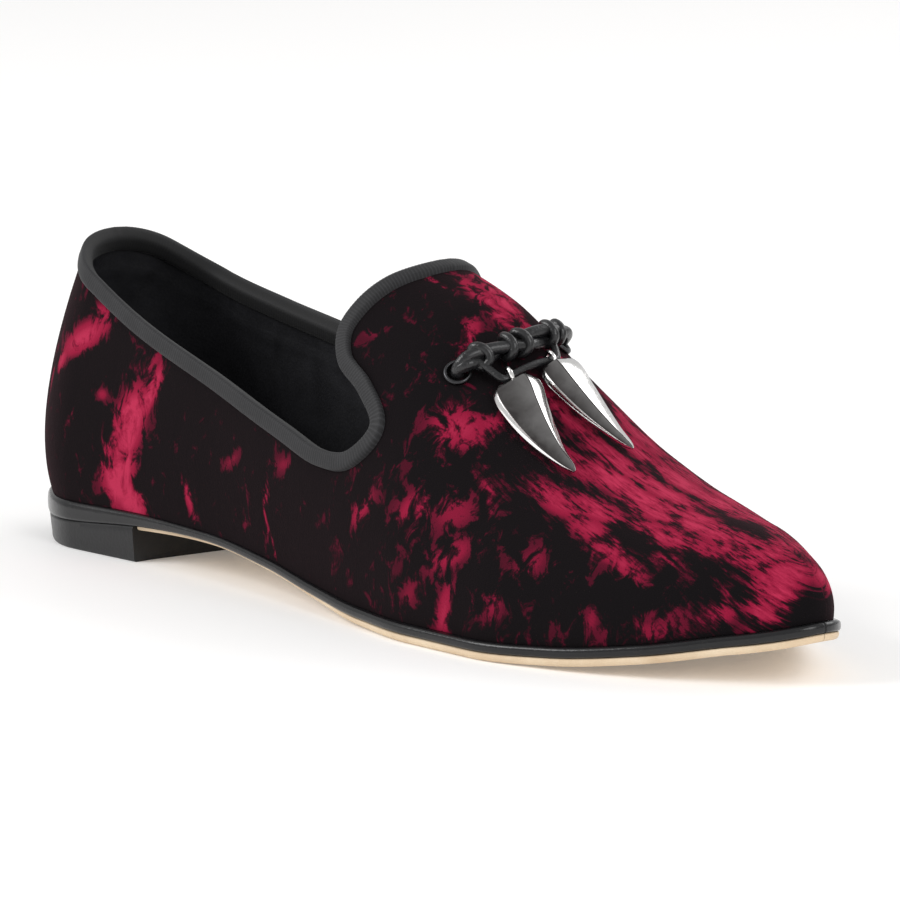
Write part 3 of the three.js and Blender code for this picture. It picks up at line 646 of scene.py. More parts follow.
def nap_of(points):
    """How far the pile is turned at each point of the outer face."""
    light = np.zeros(len(points))
    nudge = 1e-3
    for side, station, up, long, wide, lean, strength in zip(*CRUSHED.values()):
        side = int(side)
        around = float(around_of(station))
        here = last_point(side, around, up)
        ahead = last_point(side, min(around + nudge, 1.0), up)
        ahead = ahead - last_point(side, around - nudge, up)
        higher = last_point(side, around, min(up + nudge, 1.0))
        higher = higher - last_point(side, around, max(up - nudge, 0.0))
        normal = -side * np.cross(ahead, higher)
        normal /= np.linalg.norm(normal)
        toe_way = np.array([1.0, 0.0, 0.0]) if abs(normal[0]) < 0.8 else ahead
        toe_way = toe_way - normal * np.dot(toe_way, normal)
        toe_way /= np.linalg.norm(toe_way)
        up_way = -side * np.cross(normal, toe_way)
        turn = math.radians(lean)
        along = math.cos(turn) * toe_way + math.sin(turn) * up_way
        across = np.cross(normal, along)
        offset = points - here
        bow = (offset @ along) / long
        reach = (2 * bow) ** 2 + (2 * (offset @ across) / wide) ** 2 + (offset @ normal / 14) ** 2
        light = np.maximum(light, strength * np.exp(-0.75 * reach**1.3))
    # the front half is a little crushed all over
    return light + 0.2 * np.clip((points[:, 0] - 110) / 50, 0.3, 1) * (1 - light)


def brushed_at(points):
    """1 where the pile is brushed along the vamp's ridge, 0 where it is crushed every way."""
    x, z = points[:, 0], points[:, 2]
    ridge = last["ridge_z"](around_of(np.clip(x / LENGTH, 0, 1)))
    high = np.clip((z - 0.62 * ridge) / (0.2 * ridge), 0, 1)
    front = np.clip((x - 160) / 25, 0, 1)
    tip = np.clip((x - 225) / 15, 0, 1)
    return np.maximum(high * front, tip)


def velvet_material():
    shader = Shader("crushed_velvet", roughness=0.85, specular_ior_level=0.05)
    shader.surface.inputs["Sheen Weight"].default_value = 0.05
    shader.surface.inputs["Sheen Roughness"].default_value = 0.45
    shader.surface.inputs["Sheen Tint"].default_value = (0.9, 0.3, 0.4, 1.0)
    lie = shader.attribute("lie", "Vector")
    place = shader.place()
    brushed = shader.attribute("brushed")
    light = shader.attribute("light")
    # long streaks where the pile is brushed, flakes where it is crushed, and slow drift under both
    wide_streaks = shader.noise(shader.stretched(lie, (1 / 7, 1 / 2.0, 1)), 1.0, 6.0, 0.62, 0.5)
    thin_streaks = shader.noise(shader.stretched(lie, (1 / 4.5, 1 / 0.7, 1)), 1.0, 4.0, 0.62, 0.4)
    streaks = shader.node("Mix", {0: 0.45, 2: wide_streaks, 3: thin_streaks}).outputs[0]
    flakes = shader.noise(shader.stretched(place, (1.0, 1.0, 0.62)), 230.0, 6.0, 0.66, 0.7)
    patches = shader.noise(place, 60.0, 4.0, 0.6, 1.2)
    torn = shader.node("Mix", {0: brushed, 2: flakes, 3: streaks}).outputs[0]
    ragged = shader.math("MULTIPLY", shader.math("SUBTRACT", torn, 0.52), 3.1)
    drift = shader.math("MULTIPLY", shader.math("SUBTRACT", patches, 0.5), 1.2)
    turned_pile = shader.math("ADD", shader.math("ADD", light, ragged), drift)
    fibres = shader.noise(place, 2600.0, 2.0, 0.6, 0.0)
    speckle = shader.math("MULTIPLY", shader.math("SUBTRACT", fibres, 0.5), 0.2)
    turned_pile = shader.math("MULTIPLY", shader.math("ADD", turned_pile, speckle), 0.82)
    # only a strong mark turns the pile far enough to be bright
    ceiling = shader.grey(light, [(0.2, 0.43), (0.5, 0.49), (0.75, 0.64), (0.9, 1.0)])
    turned_pile = shader.math("MINIMUM", turned_pile, ceiling)
    color = shader.ramp(
        turned_pile,
        [
            (0.26, (0.0056, 0.005, 0.0056)),
            (0.39, (0.03, 0.0042, 0.009)),
            (0.47, (0.085, 0.0052, 0.017)),
            (0.58, (0.24, 0.008, 0.034)),
            (0.95, (0.42, 0.024, 0.07)),
        ],
    )
    shader.put(color, "Base Color")
    shader.put(shader.grey(turned_pile, [(0.3, 0.95), (0.9, 0.7)]), "Roughness")
    height = shader.math("ADD", shader.math("MULTIPLY", fibres, 0.5), shader.math("MULTIPLY", torn, 0.8))
    shader.bump(height, 0.35, 0.0006)
    return shader.material


def binding_material():
    shader = Shader("ribbed_tape", roughness=0.62, specular_ior_level=0.25)
    shader.surface.inputs["Sheen Weight"].default_value = 0.06
    shader.surface.inputs["Sheen Roughness"].default_value = 0.5
    place = shader.place()
    rib = shader.attribute("rib")
    wear = shader.noise(place, 120.0, 4.0, 0.6)
    threads = shader.noise(place, 3200.0, 2.0, 0.6)
    # the rib mark is lighter on the rib crests and holds painted shade: it is darker on the leg inside the
    # shoe
    value = shader.math("ADD", shader.math("MULTIPLY", rib, 0.45), shader.math("MULTIPLY", wear, 0.4))
    value = shader.math("ADD", value, shader.math("MULTIPLY", threads, 0.3))
    stops = [(0.25, (0.006, 0.006, 0.0065)), (0.6, (0.015, 0.015, 0.0165)), (0.95, (0.034, 0.034, 0.037))]
    shader.put(shader.ramp(value, stops), "Base Color")
    shader.bump(threads, 0.3, 0.0002)
    return shader.material


def leather_material(name, dark, pale, rough, grain=900.0, relief=0.25, coat=0.0, wear=90.0, gloss=0.3):
    shader = Shader(name, roughness=rough, specular_ior_level=gloss)
    shader.surface.inputs["Coat Weight"].default_value = coat
    shader.surface.inputs["Coat Roughness"].default_value = 0.18
    place = shader.place()
    cells = shader.node("TexVoronoi", {"Vector": place, "Scale": grain}).outputs["Distance"]
    cloud = shader.noise(place, wear, 5.0, 0.6, 0.5)
    fine = shader.noise(place, 2200.0, 2.0, 0.6)
    value = shader.math("ADD", shader.math("MULTIPLY", cloud, 0.8), shader.math("MULTIPLY", fine, 0.2))
    shader.put(shader.ramp(value, [(0.3, dark), (0.7, pale)]), "Base Color")
    shader.put(shader.grey(value, [(0.3, rough * 0.85), (0.7, min(rough * 1.2, 1.0))]), "Roughness")
    shader.bump(shader.math("ADD", cells, fine), relief, 0.00025)
    return shader.material


def metal_material(name, dark, pale, rough):
    shader = Shader(name, metallic=1.0, roughness=rough)
    place = shader.place()
    cloud = shader.noise(place, 160.0, 4.0, 0.6, 0.4)
    marks = shader.noise(shader.stretched(place, (0.25, 1.0, 1.0)), 2400.0, 2.0, 0.6)
    # the tone mark sets the colour: a plain even tone on the eyelets, painted reflection on the tusks (bright
    # sides and ring, a dark front face)
    tone_and_painted_reflection = shader.attribute("tone_and_painted_reflection")
    value = shader.math("ADD", tone_and_painted_reflection, shader.math("MULTIPLY", shader.math("SUBTRACT", cloud, 0.5), 0.3))
    shader.put(shader.ramp(value, [(0.0, dark), (0.9, pale)]), "Base Color")
    shader.put(shader.grey(marks, [(0.3, rough * 0.8), (0.7, rough * 1.35)]), "Roughness")
    shader.bump(marks, 0.05, 0.0001)
    return shader.material


# The upper: velvet outside and lining inside
VELVET_COLUMNS = 280
VELVET_ROWS = 96
LINING_COLUMNS = 170
LINING_ROWS = 44
ROW_SHARES = (0, 0.03, 0.08, 0.16, 0.28, 0.42, 0.58, 0.73, 0.85, 0.94, 1)


def row_shares(count):
    return np.interp(np.linspace(0, 1, count + 1), np.linspace(0, 1, len(ROW_SHARES)), ROW_SHARES)


def skin(columns, shares, grow):
    """A face of the upper, all the way round, and the drop of each point below the top edge."""
    halves, drops = [], []
    for side in (LATERAL, MEDIAL):
        around, up = upper_places(side, columns, shares)
        points = last_point(side, around, up, grow)
        steps = np.linalg.norm(np.diff(points, axis=1), axis=2)
        drop = np.concatenate([np.cumsum(steps[:, ::-1], axis=1)[:, ::-1], np.zeros((columns + 1, 1))], 1)
        halves.append(points)
        drops.append(drop)
    return both_halves(*halves), both_halves(*drops)


def normals_of(grid):
    """Normals of a closed ring of columns of points."""
    along = np.roll(grid, -1, axis=0) - np.roll(grid, 1, axis=0)
    upward = np.gradient(grid, axis=1)
    normal = np.cross(along, upward)
    return normal / np.maximum(np.linalg.norm(normal, axis=2, keepdims=True), 1e-9)


def shell(outer, inner):
    """Closed wall between two faces with the same columns."""
    section = np.concatenate([outer, inner[:, ::-1]], axis=1)
    return section.reshape(-1, 3), grid_faces(*section.shape[:2], True, True)


def section_lie(points):
    """Distances along the shoe and across its ridge, for streaks that run along the vamp."""
    x, y, z = points.T
    at = around_of(np.clip(x / LENGTH, 0.02, 0.98))
    middle_y, middle_z = last["ridge_y"](at), last["ridge_z"](at)
    across = np.sign(y - middle_y) * np.hypot(y - middle_y, np.minimum(z - middle_z, 0))
    return np.stack([x, across, np.zeros_like(x)], -1)


def make_upper():
    outer, _ = skin(VELVET_COLUMNS, row_shares(VELVET_ROWS), 0.0)
    inner, _ = skin(VELVET_COLUMNS, row_shares(20), -VELVET)
    flat = outer.reshape(-1, 3)
    light = nap_of(flat)
    # pressed pile lies a little lower than pile that stands
    press = 0.16 * np.clip(light, 0, 1).reshape(outer.shape[:2])
    normal = normals_of(outer)
    if np.sum(normal[..., 1] * outer[..., 1]) < 0:
        normal = -normal
    dressed = outer - normal * press[..., None]
    points, faces = shell(dressed, inner)
    columns = outer.shape[0]
    spare = np.zeros((columns, inner.shape[1]))

    def padded(values):
        return np.concatenate([values.reshape(outer.shape[:2]), spare], axis=1).ravel()

    lie = np.concatenate([section_lie(flat).reshape(outer.shape), inner * 0], axis=1).reshape(-1, 3)
    marks = {"light": padded(light), "brushed": padded(brushed_at(flat)), "lie": lie}
    velvet = velvet_material()
    add_mesh("upper_velvet", points, faces, velvet, replaces=("upper",), marks=marks)


LINING_SEAM = 9.0  # below the top edge


def make_lining():
    inner, drop = skin(LINING_COLUMNS, row_shares(LINING_ROWS), -WALL)
    outer, _ = skin(LINING_COLUMNS, row_shares(16), -VELVET - 0.15)
    normal = normals_of(inner)
    if np.sum(normal[..., 1] * inner[..., 1]) < 0:
        normal = -normal
    seam = np.exp(-(((drop - LINING_SEAM) / 0.7) ** 2))
    points, faces = shell(inner - normal * 0.3 * seam[..., None], outer)
    material = leather_material(
        "black_lining", (0.011, 0.011, 0.0125), (0.021, 0.021, 0.024), 0.5, 1100.0, 0.2
    )
    add_mesh("upper_lining", points, faces, material)


# Folded tape over the top edge, with fine ribs across it
RIB_PITCH = 0.8
RIB_HEIGHT = 0.07
RIB_COLUMNS = 3


def slide_in(side, around, up, distance):
    """Places slid over the last by a distance, square to the top edge and into the upper."""
    nudge = 1e-4
    here = last_point(side, around, up)
    along_around = (last_point(side, around + nudge, up) - last_point(side, around - nudge, up)) / (2 * nudge)
    along_up = (here - last_point(side, around, up - nudge)) / nudge
    edge = np.gradient(here, axis=0)
    edge /= np.linalg.norm(edge, axis=1, keepdims=True)
    normal = np.cross(along_around, along_up)
    normal /= np.linalg.norm(normal, axis=1, keepdims=True)
    inward = np.cross(edge, normal) * distance
    aa = np.sum(along_around**2, axis=1)
    au = np.sum(along_around * along_up, axis=1)
    uu = np.sum(along_up**2, axis=1)
    wa = np.sum(along_around * inward, axis=1)
    wu = np.sum(along_up * inward, axis=1)
    det = aa * uu - au * au
    slid_around = around + (wa * uu - wu * au) / det
    slid_up = up + (wu * aa - wa * au) / det
    rise = np.linalg.norm(along_up[0])
    slid_around[0], slid_up[0] = 0.0, up[0] - distance / rise
    slid_around[-1], slid_up[-1] = around[-1] + distance / np.linalg.norm(along_around[-1]), 1.0
    return slid_around, slid_up


def make_binding():
    width, thick, gap = BINDING["width"], BINDING["thick"], BINDING["gap"]
    out = gap + thick
    inn = -WALL - gap - thick
    lip = -FIT_GAP - thick
    middle = -WALL / 2
    # corners of the folded tape: how far into the upper, how far out of its face, share of rib relief
    fold = [
        (width, -0.3, 0),
        (width, out * 0.6, 0.4),
        (width - 0.3, out * 0.9, 0.8),
        (width - 0.8, out, 1),
        (width * 0.5, out, 1),
        (0.3, out, 1),
        (lip * 0.45, out * 0.86, 1),
        (lip * 0.86, out * 0.4, 1),
        (lip, middle, 1),
        (lip * 0.86, inn + out * 0.6, 1),
        (lip * 0.45, inn + out * 0.14, 1),
        (0.3, inn, 1),
        (width * 0.5, inn, 1),
        (width - 0.5, inn, 0.8),
        (width, inn + 0.5, 0.4),
        (width, -WALL + 0.3, 0),
    ]
    halves, ribs = [], []
    for side in (LATERAL, MEDIAL):
        count = int(round(TOP_EDGE[side][2][-1] / RIB_PITCH)) * RIB_COLUMNS
        around, up = topline_places(side, count)
        phase = np.arange(count + 1) / RIB_COLUMNS * 2 * np.pi
        wave = 0.5 + 0.5 * np.cos(phase)
        columns = []
        for depth, grow, share in fold:
            slid_around, slid_up = slide_in(side, around, up, depth)
            relief = RIB_HEIGHT * share * wave * (1 if grow > middle else -1)
            columns.append(last_point(side, slid_around, slid_up, grow + relief))
        halves.append(np.stack(columns, axis=1))
        # painted shade: the leg inside the shoe lies in shade and takes no wear, so its rib mark is made
        # darker
        shade = np.array([0.0 if grow > middle else 1.0 for _, grow, _ in fold])
        ribs.append(wave[:, None] - shade[None, :])
    rings = both_halves(*halves)
    points, faces = rings.reshape(-1, 3), grid_faces(*rings.shape[:2], True, True)
    marks = {"rib": both_halves(*ribs).ravel()}
    add_mesh(
        "collar_tape", points, faces, binding_material(), replaces=("collar_binding",),
        sharp=70.0, marks=marks,
    )


# The sole
SOLE_STEPS = 320
ACROSS = 8  # points across a flat face of the sole


def midsole_top(around):
    return last["feather"](around) - 0.06


def midsole_bottom(around):
    return last["feather"](around) - FIT_GAP - sole["midsole"](around)


def outsole_top(around):
    return midsole_bottom(around) - 0.12


def outsole_bottom(around):
    return midsole_bottom(around) - FIT_GAP - sole["outsole"](around)


def breast_around(side, gap):
    """Where the heel's front meets one side of the outline."""
    around = np.linspace(0.1, 0.6, 2000)
    point = outline_point(side, around)
    ahead = point[:, 0] - (BREAST_X + gap + point[:, 1] * math.tan(BREAST_SKEW))
    return float(np.interp(0, ahead, around))


def sole_layer(start, end, profile, dish=0.0):
    """A layer of the sole between positions given by side. profile lists its edge from the top down, by
    how far each corner stands out of the feather edge and by height."""
    share = np.linspace(0, 1, SOLE_STEPS + 1)
    halves = []
    for side in (LATERAL, MEDIAL):
        around = start[side] + (end[side] - start[side]) * share
        corners = []
        for out, z in profile(around):
            plan = grown_outline(side, around, np.broadcast_to(out, around.shape))
            corners.append(np.column_stack([plan, np.broadcast_to(z, around.shape)]))
        halves.append(np.stack(corners, axis=1))
    lateral, medial = halves
    mix = np.linspace(0, 1, ACROSS + 2)[1:-1][None, :, None]
    top = medial[:, :1] + (lateral[:, :1] - medial[:, :1]) * mix
    bottom = lateral[:, -1:] + (medial[:, -1:] - lateral[:, -1:]) * mix
    top[..., 2] -= dish * (4 * mix[..., 0] * (1 - mix[..., 0]))
    rings = np.concatenate([lateral, bottom, medial[:, ::-1], top], axis=1)
    return loft(rings)


WHOLE = {LATERAL: 0.0, MEDIAL: 0.0}, {LATERAL: 1.0, MEDIAL: 1.0}


def make_sole():
    def midsole_edge(around):
        top, bottom, out = midsole_top(around), midsole_bottom(around), sole["ledge"](around)
        tall = top - bottom
        rows = ((-1.6, 0.0), (-0.75, 0.0), (-0.3, 0.1), (-0.06, 0.24), (0, 0.42), (0, 0.6), (-0.08, 0.8))
        rows += ((-0.3, 0.95), (-0.7, 1.0))
        return [(out + step, top - tall * share) for step, share in rows]

    edge_black = leather_material(
        "black_edge", (0.0045, 0.0045, 0.005), (0.010, 0.010, 0.011), 0.24, 1500.0, 0.1, 0.15
    )
    points, faces = sole_layer(*WHOLE, midsole_edge)
    add_mesh("midsole_edge", points, faces, edge_black, replaces=("midsole",), sharp=55.0)

    def outsole_edge(around):
        top, bottom = outsole_top(around), outsole_bottom(around)
        out = sole["ledge"](around) - sole["tuck"](around)
        tall = top - bottom
        rows = ((-0.25, 0.0), (0, 0.1), (-0.02, 0.4), (-0.16, 0.62), (-0.5, 0.85), (-1.1, 1.0), (-4, 1.0))
        return [(out + step, top - tall * share) for step, share in rows]

    pale = leather_material(
        "pale_leather", (0.60, 0.44, 0.28), (0.80, 0.66, 0.48), 0.5, 700.0, 0.15, 0.0, 60.0
    )
    start = {side: breast_around(side, FIT_GAP) for side in (LATERAL, MEDIAL)}
    points, faces = sole_layer(start, WHOLE[1], outsole_edge)
    add_mesh("outsole_leather", points, faces, pale, replaces=("outsole",), sharp=50.0)

    def heel_edge(around):
        out = sole["ledge"](around)
        top = outsole_top(around)
        rows = ((-0.8, 0.0), (-0.5, 0.06), (-0.7, 0.4), (-0.95, 0.72), (-1.02, 0.9), (-1.25, 0.98))
        rows += ((-1.7, 1.0), (-6, 1.0))
        return [(out + step, top * (1 - share)) for step, share in rows]

    heel_black = leather_material(
        "heel_black", (0.006, 0.006, 0.0065), (0.013, 0.013, 0.014), 0.34, 1300.0, 0.12, 0.08
    )
    end = {side: breast_around(side, 0.0) for side in (LATERAL, MEDIAL)}
    points, faces = sole_layer(WHOLE[0], end, heel_edge)
    add_mesh("heel_block", points, faces, heel_black, replaces=("heel",), sharp=40.0)

    def insole_edge(around):
        bottom = last["feather"](around)
        inset = -WALL - 0.1
        rows = ((-1.4, 1.0), (-0.5, 0.97), (0, 0.8), (0, 0.0), (-3, 0.0))
        return [(inset + step, bottom + INSOLE * share) for step, share in rows]

    sock = leather_material(
        "insole_leather", (0.007, 0.007, 0.0075), (0.014, 0.0135, 0.0135), 0.5, 1000.0, 0.25
    )
    points, faces = sole_layer(*WHOLE, insole_edge, dish=0.35)
    add_mesh("insole_sock", points, faces, sock, replaces=("insole",), sharp=50.0)


# Ornament: eyelets, knotted cord and tusks
def vamp_frame(x, y):
    side, around, up = place_from_above(x, y)
    nudge = 1e-3
    here = last_point(side, around, up)
    ahead = last_point(side, around + nudge, up) - here
    higher = here - last_point(side, around, up - nudge)
    normal = np.cross(ahead, higher)
    normal /= np.linalg.norm(normal)
    return here, normal if normal[2] > 0 else -normal


def over_vamp(x, y, raise_by):
    here, normal = vamp_frame(x, y)
    return here + normal * raise_by


def lathe(profile, origin, axis, segments):
    """A closed profile of radius and height turned round an axis."""
    profile = np.asarray(profile, float)
    axis = axis / np.linalg.norm(axis)
    across = np.cross(axis, [0.0, 1.0, 0.0])
    across /= np.linalg.norm(across)
    other = np.cross(axis, across)
    turn = np.linspace(0, 2 * np.pi, segments, endpoint=False)[:, None, None]
    spoke = np.cos(turn) * across + np.sin(turn) * other
    rings = origin + spoke * profile[None, :, :1] + axis * profile[None, :, 1:]
    return loft(rings, closed=True)


def make_eyelets(metal):
    hole, flange, height = EYELET["hole"], EYELET["flange"], EYELET["height"]
    turn = np.linspace(0, 2 * np.pi, 16, endpoint=False)
    middle, half = (hole + flange) / 2, (flange - hole) / 2
    profile = np.stack([middle + half * np.cos(turn), 0.5 * height + 0.62 * height * np.sin(turn)], -1)
    for side, node in ((LATERAL, "eyelet_lateral"), (MEDIAL, "eyelet_medial")):
        here, normal = vamp_frame(EYELET["x"], EYELET["middle"] + side * EYELET["reach"])
        points, faces = lathe(profile, here + normal * 0.1, normal, 48)
        tone_and_painted_reflection = np.full(len(points), 0.35)
        name = node.replace("eyelet", "eyelet_ring")
        add_mesh(name, points, faces, metal, replaces=(node,), marks={"tone_and_painted_reflection": tone_and_painted_reflection})


def hanger_point(y):
    return over_vamp(HANGER["x"], y, HANGER["rise"])


WRAPS = columns_of(
    "y tilt tall deep",
    [
        (-12.4, 0.3, 2.1, 2.6),
        (-6.2, -0.2, 2.3, 2.7),
        (-2.9, 0.15, 2.3, 2.7),
        (5.2, -0.15, 2.2, 2.6),
        (8.4, -0.35, 2.0, 2.4),
    ],
)
COURSE = columns_of(
    "share rise apart",
    [
        (-1, -2.4, 0.1),
        (-1, 1.5, 0.1),
        (-0.88, 3.4, 0.75),
        (-0.7, 3.3, 1.15),
        (-0.5, 3.2, 1.35),
        (-0.25, 3.4, 1.35),
        (0, 3.5, 1.35),
        (0.25, 3.4, 1.35),
        (0.5, 3.2, 1.35),
        (0.7, 3.3, 1.15),
        (0.88, 3.4, 0.75),
        (1, 1.5, 0.1),
        (1, -2.4, 0.1),
    ],
)
TWIST = 2.9  # how far the two strands turn round each other from the middle to an eyelet, in radians


def make_knot():
    x, middle, reach = EYELET["x"], EYELET["middle"], EYELET["reach"]
    sag = CORD["middle_x"] - x
    parts = []
    for way in (1, -1):
        points = []
        for share, rise, apart in zip(*COURSE.values()):
            at = over_vamp(x + sag * (1 - share * share), middle + share * reach, rise)
            turn = 0.54 + TWIST * share
            points.append(at + way * apart * np.array([math.cos(turn), 0, -math.sin(turn)]))
        parts.append(tube(smooth_path(points, 90), CORD["radius"], 18))
    turn = np.linspace(0, 2 * np.pi, 40, endpoint=False)
    for y, tilt, tall, deep in zip(*WRAPS.values()):
        share = (y - middle) / reach
        at = over_vamp(x + sag * (1 - share * share), y, CORD["rise"])
        lean = 0.5
        loop = np.stack([deep * np.cos(turn), 0.35 * np.sin(2 * turn), tall * np.sin(turn)], -1)
        tip = np.array([[math.cos(lean), 0, math.sin(lean)], [0, 1, 0], [-math.sin(lean), 0, math.cos(lean)]])
        swing = np.array(
            [[math.cos(tilt), -math.sin(tilt), 0], [math.sin(tilt), math.cos(tilt), 0], [0, 0, 1]]
        )
        parts.append(tube(at + loop @ tip.T @ swing.T, CORD["wrap"], 14, closed=True))
    ends = [over_vamp(x + sag / 2, y, CORD["rise"] - 0.4) for y in (-13.2, 6.6)]
    front = [hanger_point(y) for y in (-11, -9.6, -4, 1.8, 3.2)]
    parts.append(tube(smooth_path([ends[0], *front, ends[1]], 60), HANGER["radius"], 14))
    points, faces = join(parts)
    cord = leather_material(
        "cord_leather", (0.005, 0.005, 0.0055), (0.017, 0.017, 0.0185), 0.3, 1600.0, 0.35, 0.35, 260.0
    )
    add_mesh("knot_leather", points, faces, cord, replaces=("knot_cord",), sharp=60.0)


# ridge is where the edge between a tusk's two front faces lies, lift how far it stands off the vamp
TUSKS = {
    "lateral": {
        "ring_y": -9.6, "tip_x": 192, "tip_y": -15, "tip_rise": 1.2, "roll": 0.16, "bow": 1,
        "ridge": 0.5, "lift": 0.0, "broad": 1.0,
    },
    "medial": {
        "ring_y": 1.8, "tip_x": 193, "tip_y": 2.2, "tip_rise": 1.2, "roll": 0.3, "bow": 0.5,
        "ridge": -0.1, "lift": 0.7, "broad": 0.88,
    },
}
TUSK = columns_of(
    "along width thick bend",
    [
        (2, 10.2, 3.6, 0),
        (4, 11.6, 4.2, 0.2),
        (10.5, 10.4, 4.2, 0.8),
        (18, 7.7, 3.5, 0.9),
        (25, 4.6, 2.6, 0.2),
        (30, 2.2, 1.7, -0.9),
        (31, 1.1, 1, -1.1),
    ],
)
RING = {"radius": 1.85, "wire": 0.5}


def turned(vector, axis, angle):
    """A vector turned about an axis."""
    axis = axis / np.linalg.norm(axis)
    flat = vector * math.cos(angle) + np.cross(axis, vector) * math.sin(angle)
    return flat + axis * np.dot(axis, vector) * (1 - math.cos(angle))


def eased_rows(count):
    """The tusk's rows, more closely and smoothly spaced."""
    at = TUSK["along"]
    wanted = np.unique(np.r_[np.linspace(at[0], at[-1], count), at])
    made = {}
    for key in ("width", "thick", "bend"):
        value = TUSK[key]
        step = np.diff(at)
        rise = np.diff(value) / step
        slope = np.r_[rise[0], (rise[:-1] + rise[1:]) / 2, rise[-1]]
        i = np.clip(np.searchsorted(at, wanted, side="right") - 1, 0, len(at) - 2)
        t = (wanted - at[i]) / step[i]
        start = (2 * t**3 - 3 * t**2 + 1) * value[i] + (t**3 - 2 * t**2 + t) * step[i] * slope[i]
        end = (3 * t**2 - 2 * t**3) * value[i + 1] + (t**3 - t**2) * step[i] * slope[i + 1]
        made[key] = start + end
    return wanted, made["width"], made["thick"], made["bend"]


def make_tusk(which, metal):
    facts = TUSKS[which]
    origin = hanger_point(facts["ring_y"])
    tip = over_vamp(facts["tip_x"], facts["tip_y"], facts["tip_rise"])
    along = tip - origin
    along /= np.linalg.norm(along)
    _, normal = vamp_frame((origin[0] + facts["tip_x"]) / 2, (facts["ring_y"] + facts["tip_y"]) / 2)
    normal = turned(normal, along, facts["roll"])
    across = np.cross(normal, along)
    across /= np.linalg.norm(across)
    out = np.cross(along, across)
    rings, painted_reflection_tones = [], []
    for a, width, thick, bend in zip(*eased_rows(44)):
        half, middle, back = facts["broad"] * width / 2, -facts["bow"] * bend, -thick * 0.45
        corners = np.array(
            [
                (middle - half * 0.8, back),
                (middle + half * 0.8, back),
                (middle + half, back + thick * 0.35),
                (middle + half * facts["ridge"], thick * 0.55),
                (middle - half * 0.82, thick * 0.19),
                (middle - half, back + thick * 0.35),
            ]
        )
        ease = min(0.22, half * 0.12)
        ring, tone_and_painted_reflection = [], []
        for k, corner in enumerate(corners):
            for other in (corners[k - 1], corners[(k + 1) % 6]):
                way = other - corner
                ring.append(corner + way / np.linalg.norm(way) * ease)
                front = corner[1] > 0 and other[1] > 0
                # painted reflection: the front face darkens away from its ridge, and the sides and back are
                # painted bright
                tone_and_painted_reflection.append((0.2 if k == 3 else 0.02) if front else 0.95)
            # painted reflection: the eased corners of the front face are darkest, the other eased corners
            # bright
            ring.insert(-1, corner * 0.5 + (ring[-1] + ring[-2]) * 0.25)
            tone_and_painted_reflection.insert(-1, -0.3 if corner[1] > 0 else 0.9)
        rings.append([origin + along * a + across * w + out * (t + facts["lift"]) for w, t in ring])
        painted_reflection_tones.append(tone_and_painted_reflection)
    rings = np.array(rings)
    # the blunt end is eased too
    rings[0] += along * 0.3
    cap = rings[0].mean(0) + (rings[0] - rings[0].mean(0)) * 0.93 - along * 0.28
    blunt = rings[-1].mean(0) + (rings[-1] - rings[-1].mean(0)) * 0.45 + along * 0.35
    rings = np.concatenate([cap[None], rings, blunt[None]])
    painted_reflection_tones = np.array([painted_reflection_tones[0], *painted_reflection_tones, painted_reflection_tones[-1]])
    claw = loft(rings)
    # painted reflection: the end caps are painted bright
    claw_painted_reflection = np.r_[painted_reflection_tones.ravel(), 0.9, 0.9]
    turn = np.linspace(0, 2 * np.pi, 48, endpoint=False)[:, None]
    loop = origin + RING["radius"] * (np.cos(turn) * along + np.sin(turn) * out)
    ring = tube(loop, RING["wire"], 14, closed=True)
    points, faces = join([claw, ring])
    # painted reflection: the ring is painted bright all round
    tone_and_painted_reflection = np.r_[claw_painted_reflection, np.full(len(ring[0]), 0.9)]
    add_mesh(
        f"tusk_{which}", points, faces, metal, body=f"{which}_pendant",
        replaces=(f"pendant_{which}",), sharp=24.0, marks={"tone_and_painted_reflection": tone_and_painted_reflection},
    )


make_upper()
make_lining()
make_binding()
make_sole()
make_eyelets(metal_material("dark_metal", (0.02, 0.02, 0.022), (0.12, 0.12, 0.125), 0.32))
make_knot()
# painted reflection: the tusks' metal runs from dark on the front face to bright on the sides and ring
polished = metal_material("polished_metal", (0.075, 0.069, 0.068), (0.88, 0.87, 0.86), 0.13)
make_tusk("lateral", polished)
make_tusk("medial", polished)


# Studio
VIEW_AZIMUTH = math.radians(49.0)
VIEW_ELEVATION = math.radians(10.1)
VIEW_DISTANCE = 1.552
VIEW_TARGET = np.array([129.0, 0.0, 29.1])
VIEW_LENS = 208.6 * 1.3  # closer than the photograph, which holds a pair
VIEW_RIGHT = 2.4  # the one shoe's own middle
VIEW_UP = 5.6


def aim(thing, place, target):
    thing.location = place
    thing.rotation_euler = (Vector(target) - Vector(place)).to_track_quat("-Z", "Y").to_euler()
    bpy.context.scene.collection.objects.link(thing)


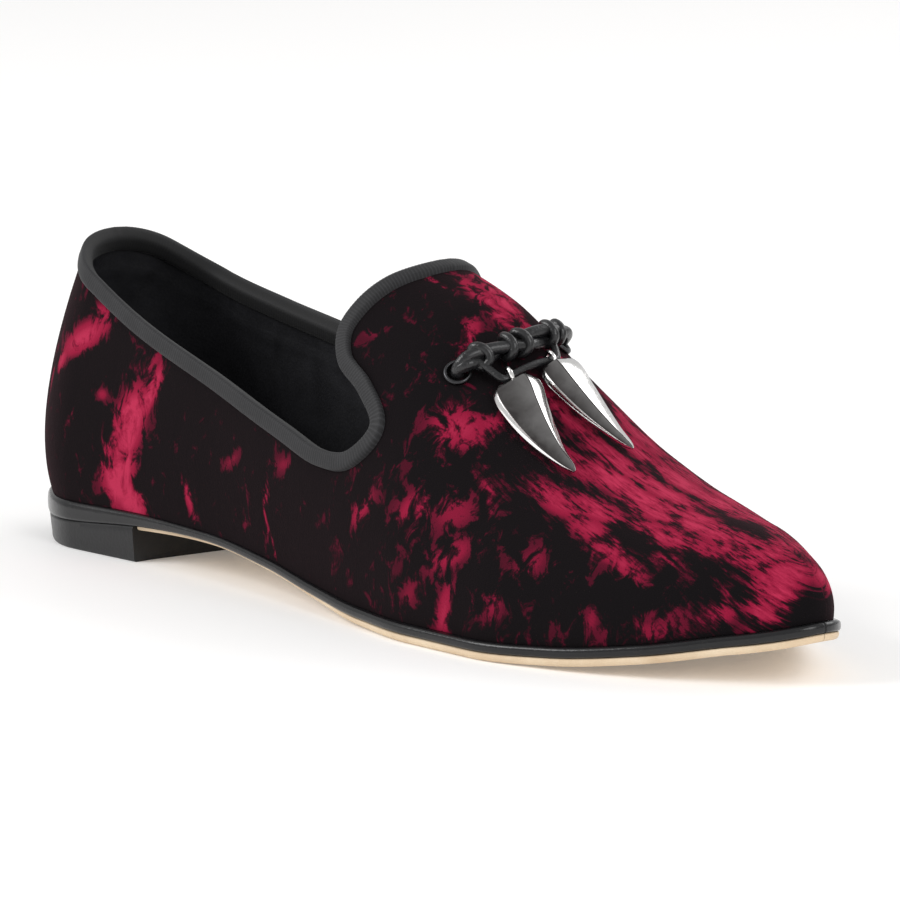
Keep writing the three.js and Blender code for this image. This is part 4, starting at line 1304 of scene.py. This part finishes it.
def make_camera():
    a, e = VIEW_AZIMUTH, VIEW_ELEVATION
    right = np.array([math.cos(a), math.sin(a), 0])
    upward = np.array([-math.sin(a) * math.sin(e), math.cos(a) * math.sin(e), math.cos(e)])
    toward = np.array([math.sin(a) * math.cos(e), -math.cos(a) * math.cos(e), math.sin(e)])
    target = (VIEW_TARGET - SHIFT + right * VIEW_RIGHT + upward * VIEW_UP) * MM
    data = bpy.data.cameras.new("camera")
    data.lens = VIEW_LENS
    data.sensor_width = 36.0
    camera = bpy.data.objects.new("camera", data)
    aim(camera, target + toward * VIEW_DISTANCE, target)
    bpy.context.scene.camera = camera


def make_floor():
    size = 6.0
    corners = [(-size, -size, 0), (size, -size, 0), (size, size, 0), (-size, size, 0)]
    mesh = bpy.data.meshes.new("floor")
    mesh.from_pydata(corners, [], [(0, 1, 2, 3)])
    shader = Shader("studio_floor", roughness=0.6)
    shader.surface.inputs["Base Color"].default_value = (0.93, 0.922, 0.915, 1.0)
    shader.surface.inputs["Emission Color"].default_value = (1.0, 1.0, 1.0, 1.0)
    shader.surface.inputs["Emission Strength"].default_value = 0.12
    mesh.materials.append(shader.material)
    floor = bpy.data.objects.new("floor", mesh)
    bpy.context.scene.collection.objects.link(floor)


def make_light(name, place, size, power, color=(1.0, 1.0, 1.0)):
    data = bpy.data.lights.new(name, "AREA")
    data.shape = "RECTANGLE"
    data.size, data.size_y = size
    data.energy = power
    data.color = color
    aim(bpy.data.objects.new(name, data), place, (0.0, 0.0, 0.03))


def make_studio():
    make_camera()
    make_floor()
    make_light("key", (-0.9, -1.4, 1.15), (1.2, 0.9), 23.0)
    make_light("side", (1.5, -0.2, 0.9), (0.8, 1.0), 10.0)
    make_light("back", (0.3, 1.6, 1.2), (1.6, 0.8), 11.0)
    world = bpy.data.worlds.new("studio")
    world.use_nodes = True
    background = world.node_tree.nodes["Background"]
    background.inputs["Color"].default_value = (1.0, 1.0, 1.0, 1.0)
    background.inputs["Strength"].default_value = 0.6
    bpy.context.scene.world = world
    bpy.context.scene.view_settings.view_transform = "Standard"


make_studio()

bpy.context.view_layer.update()
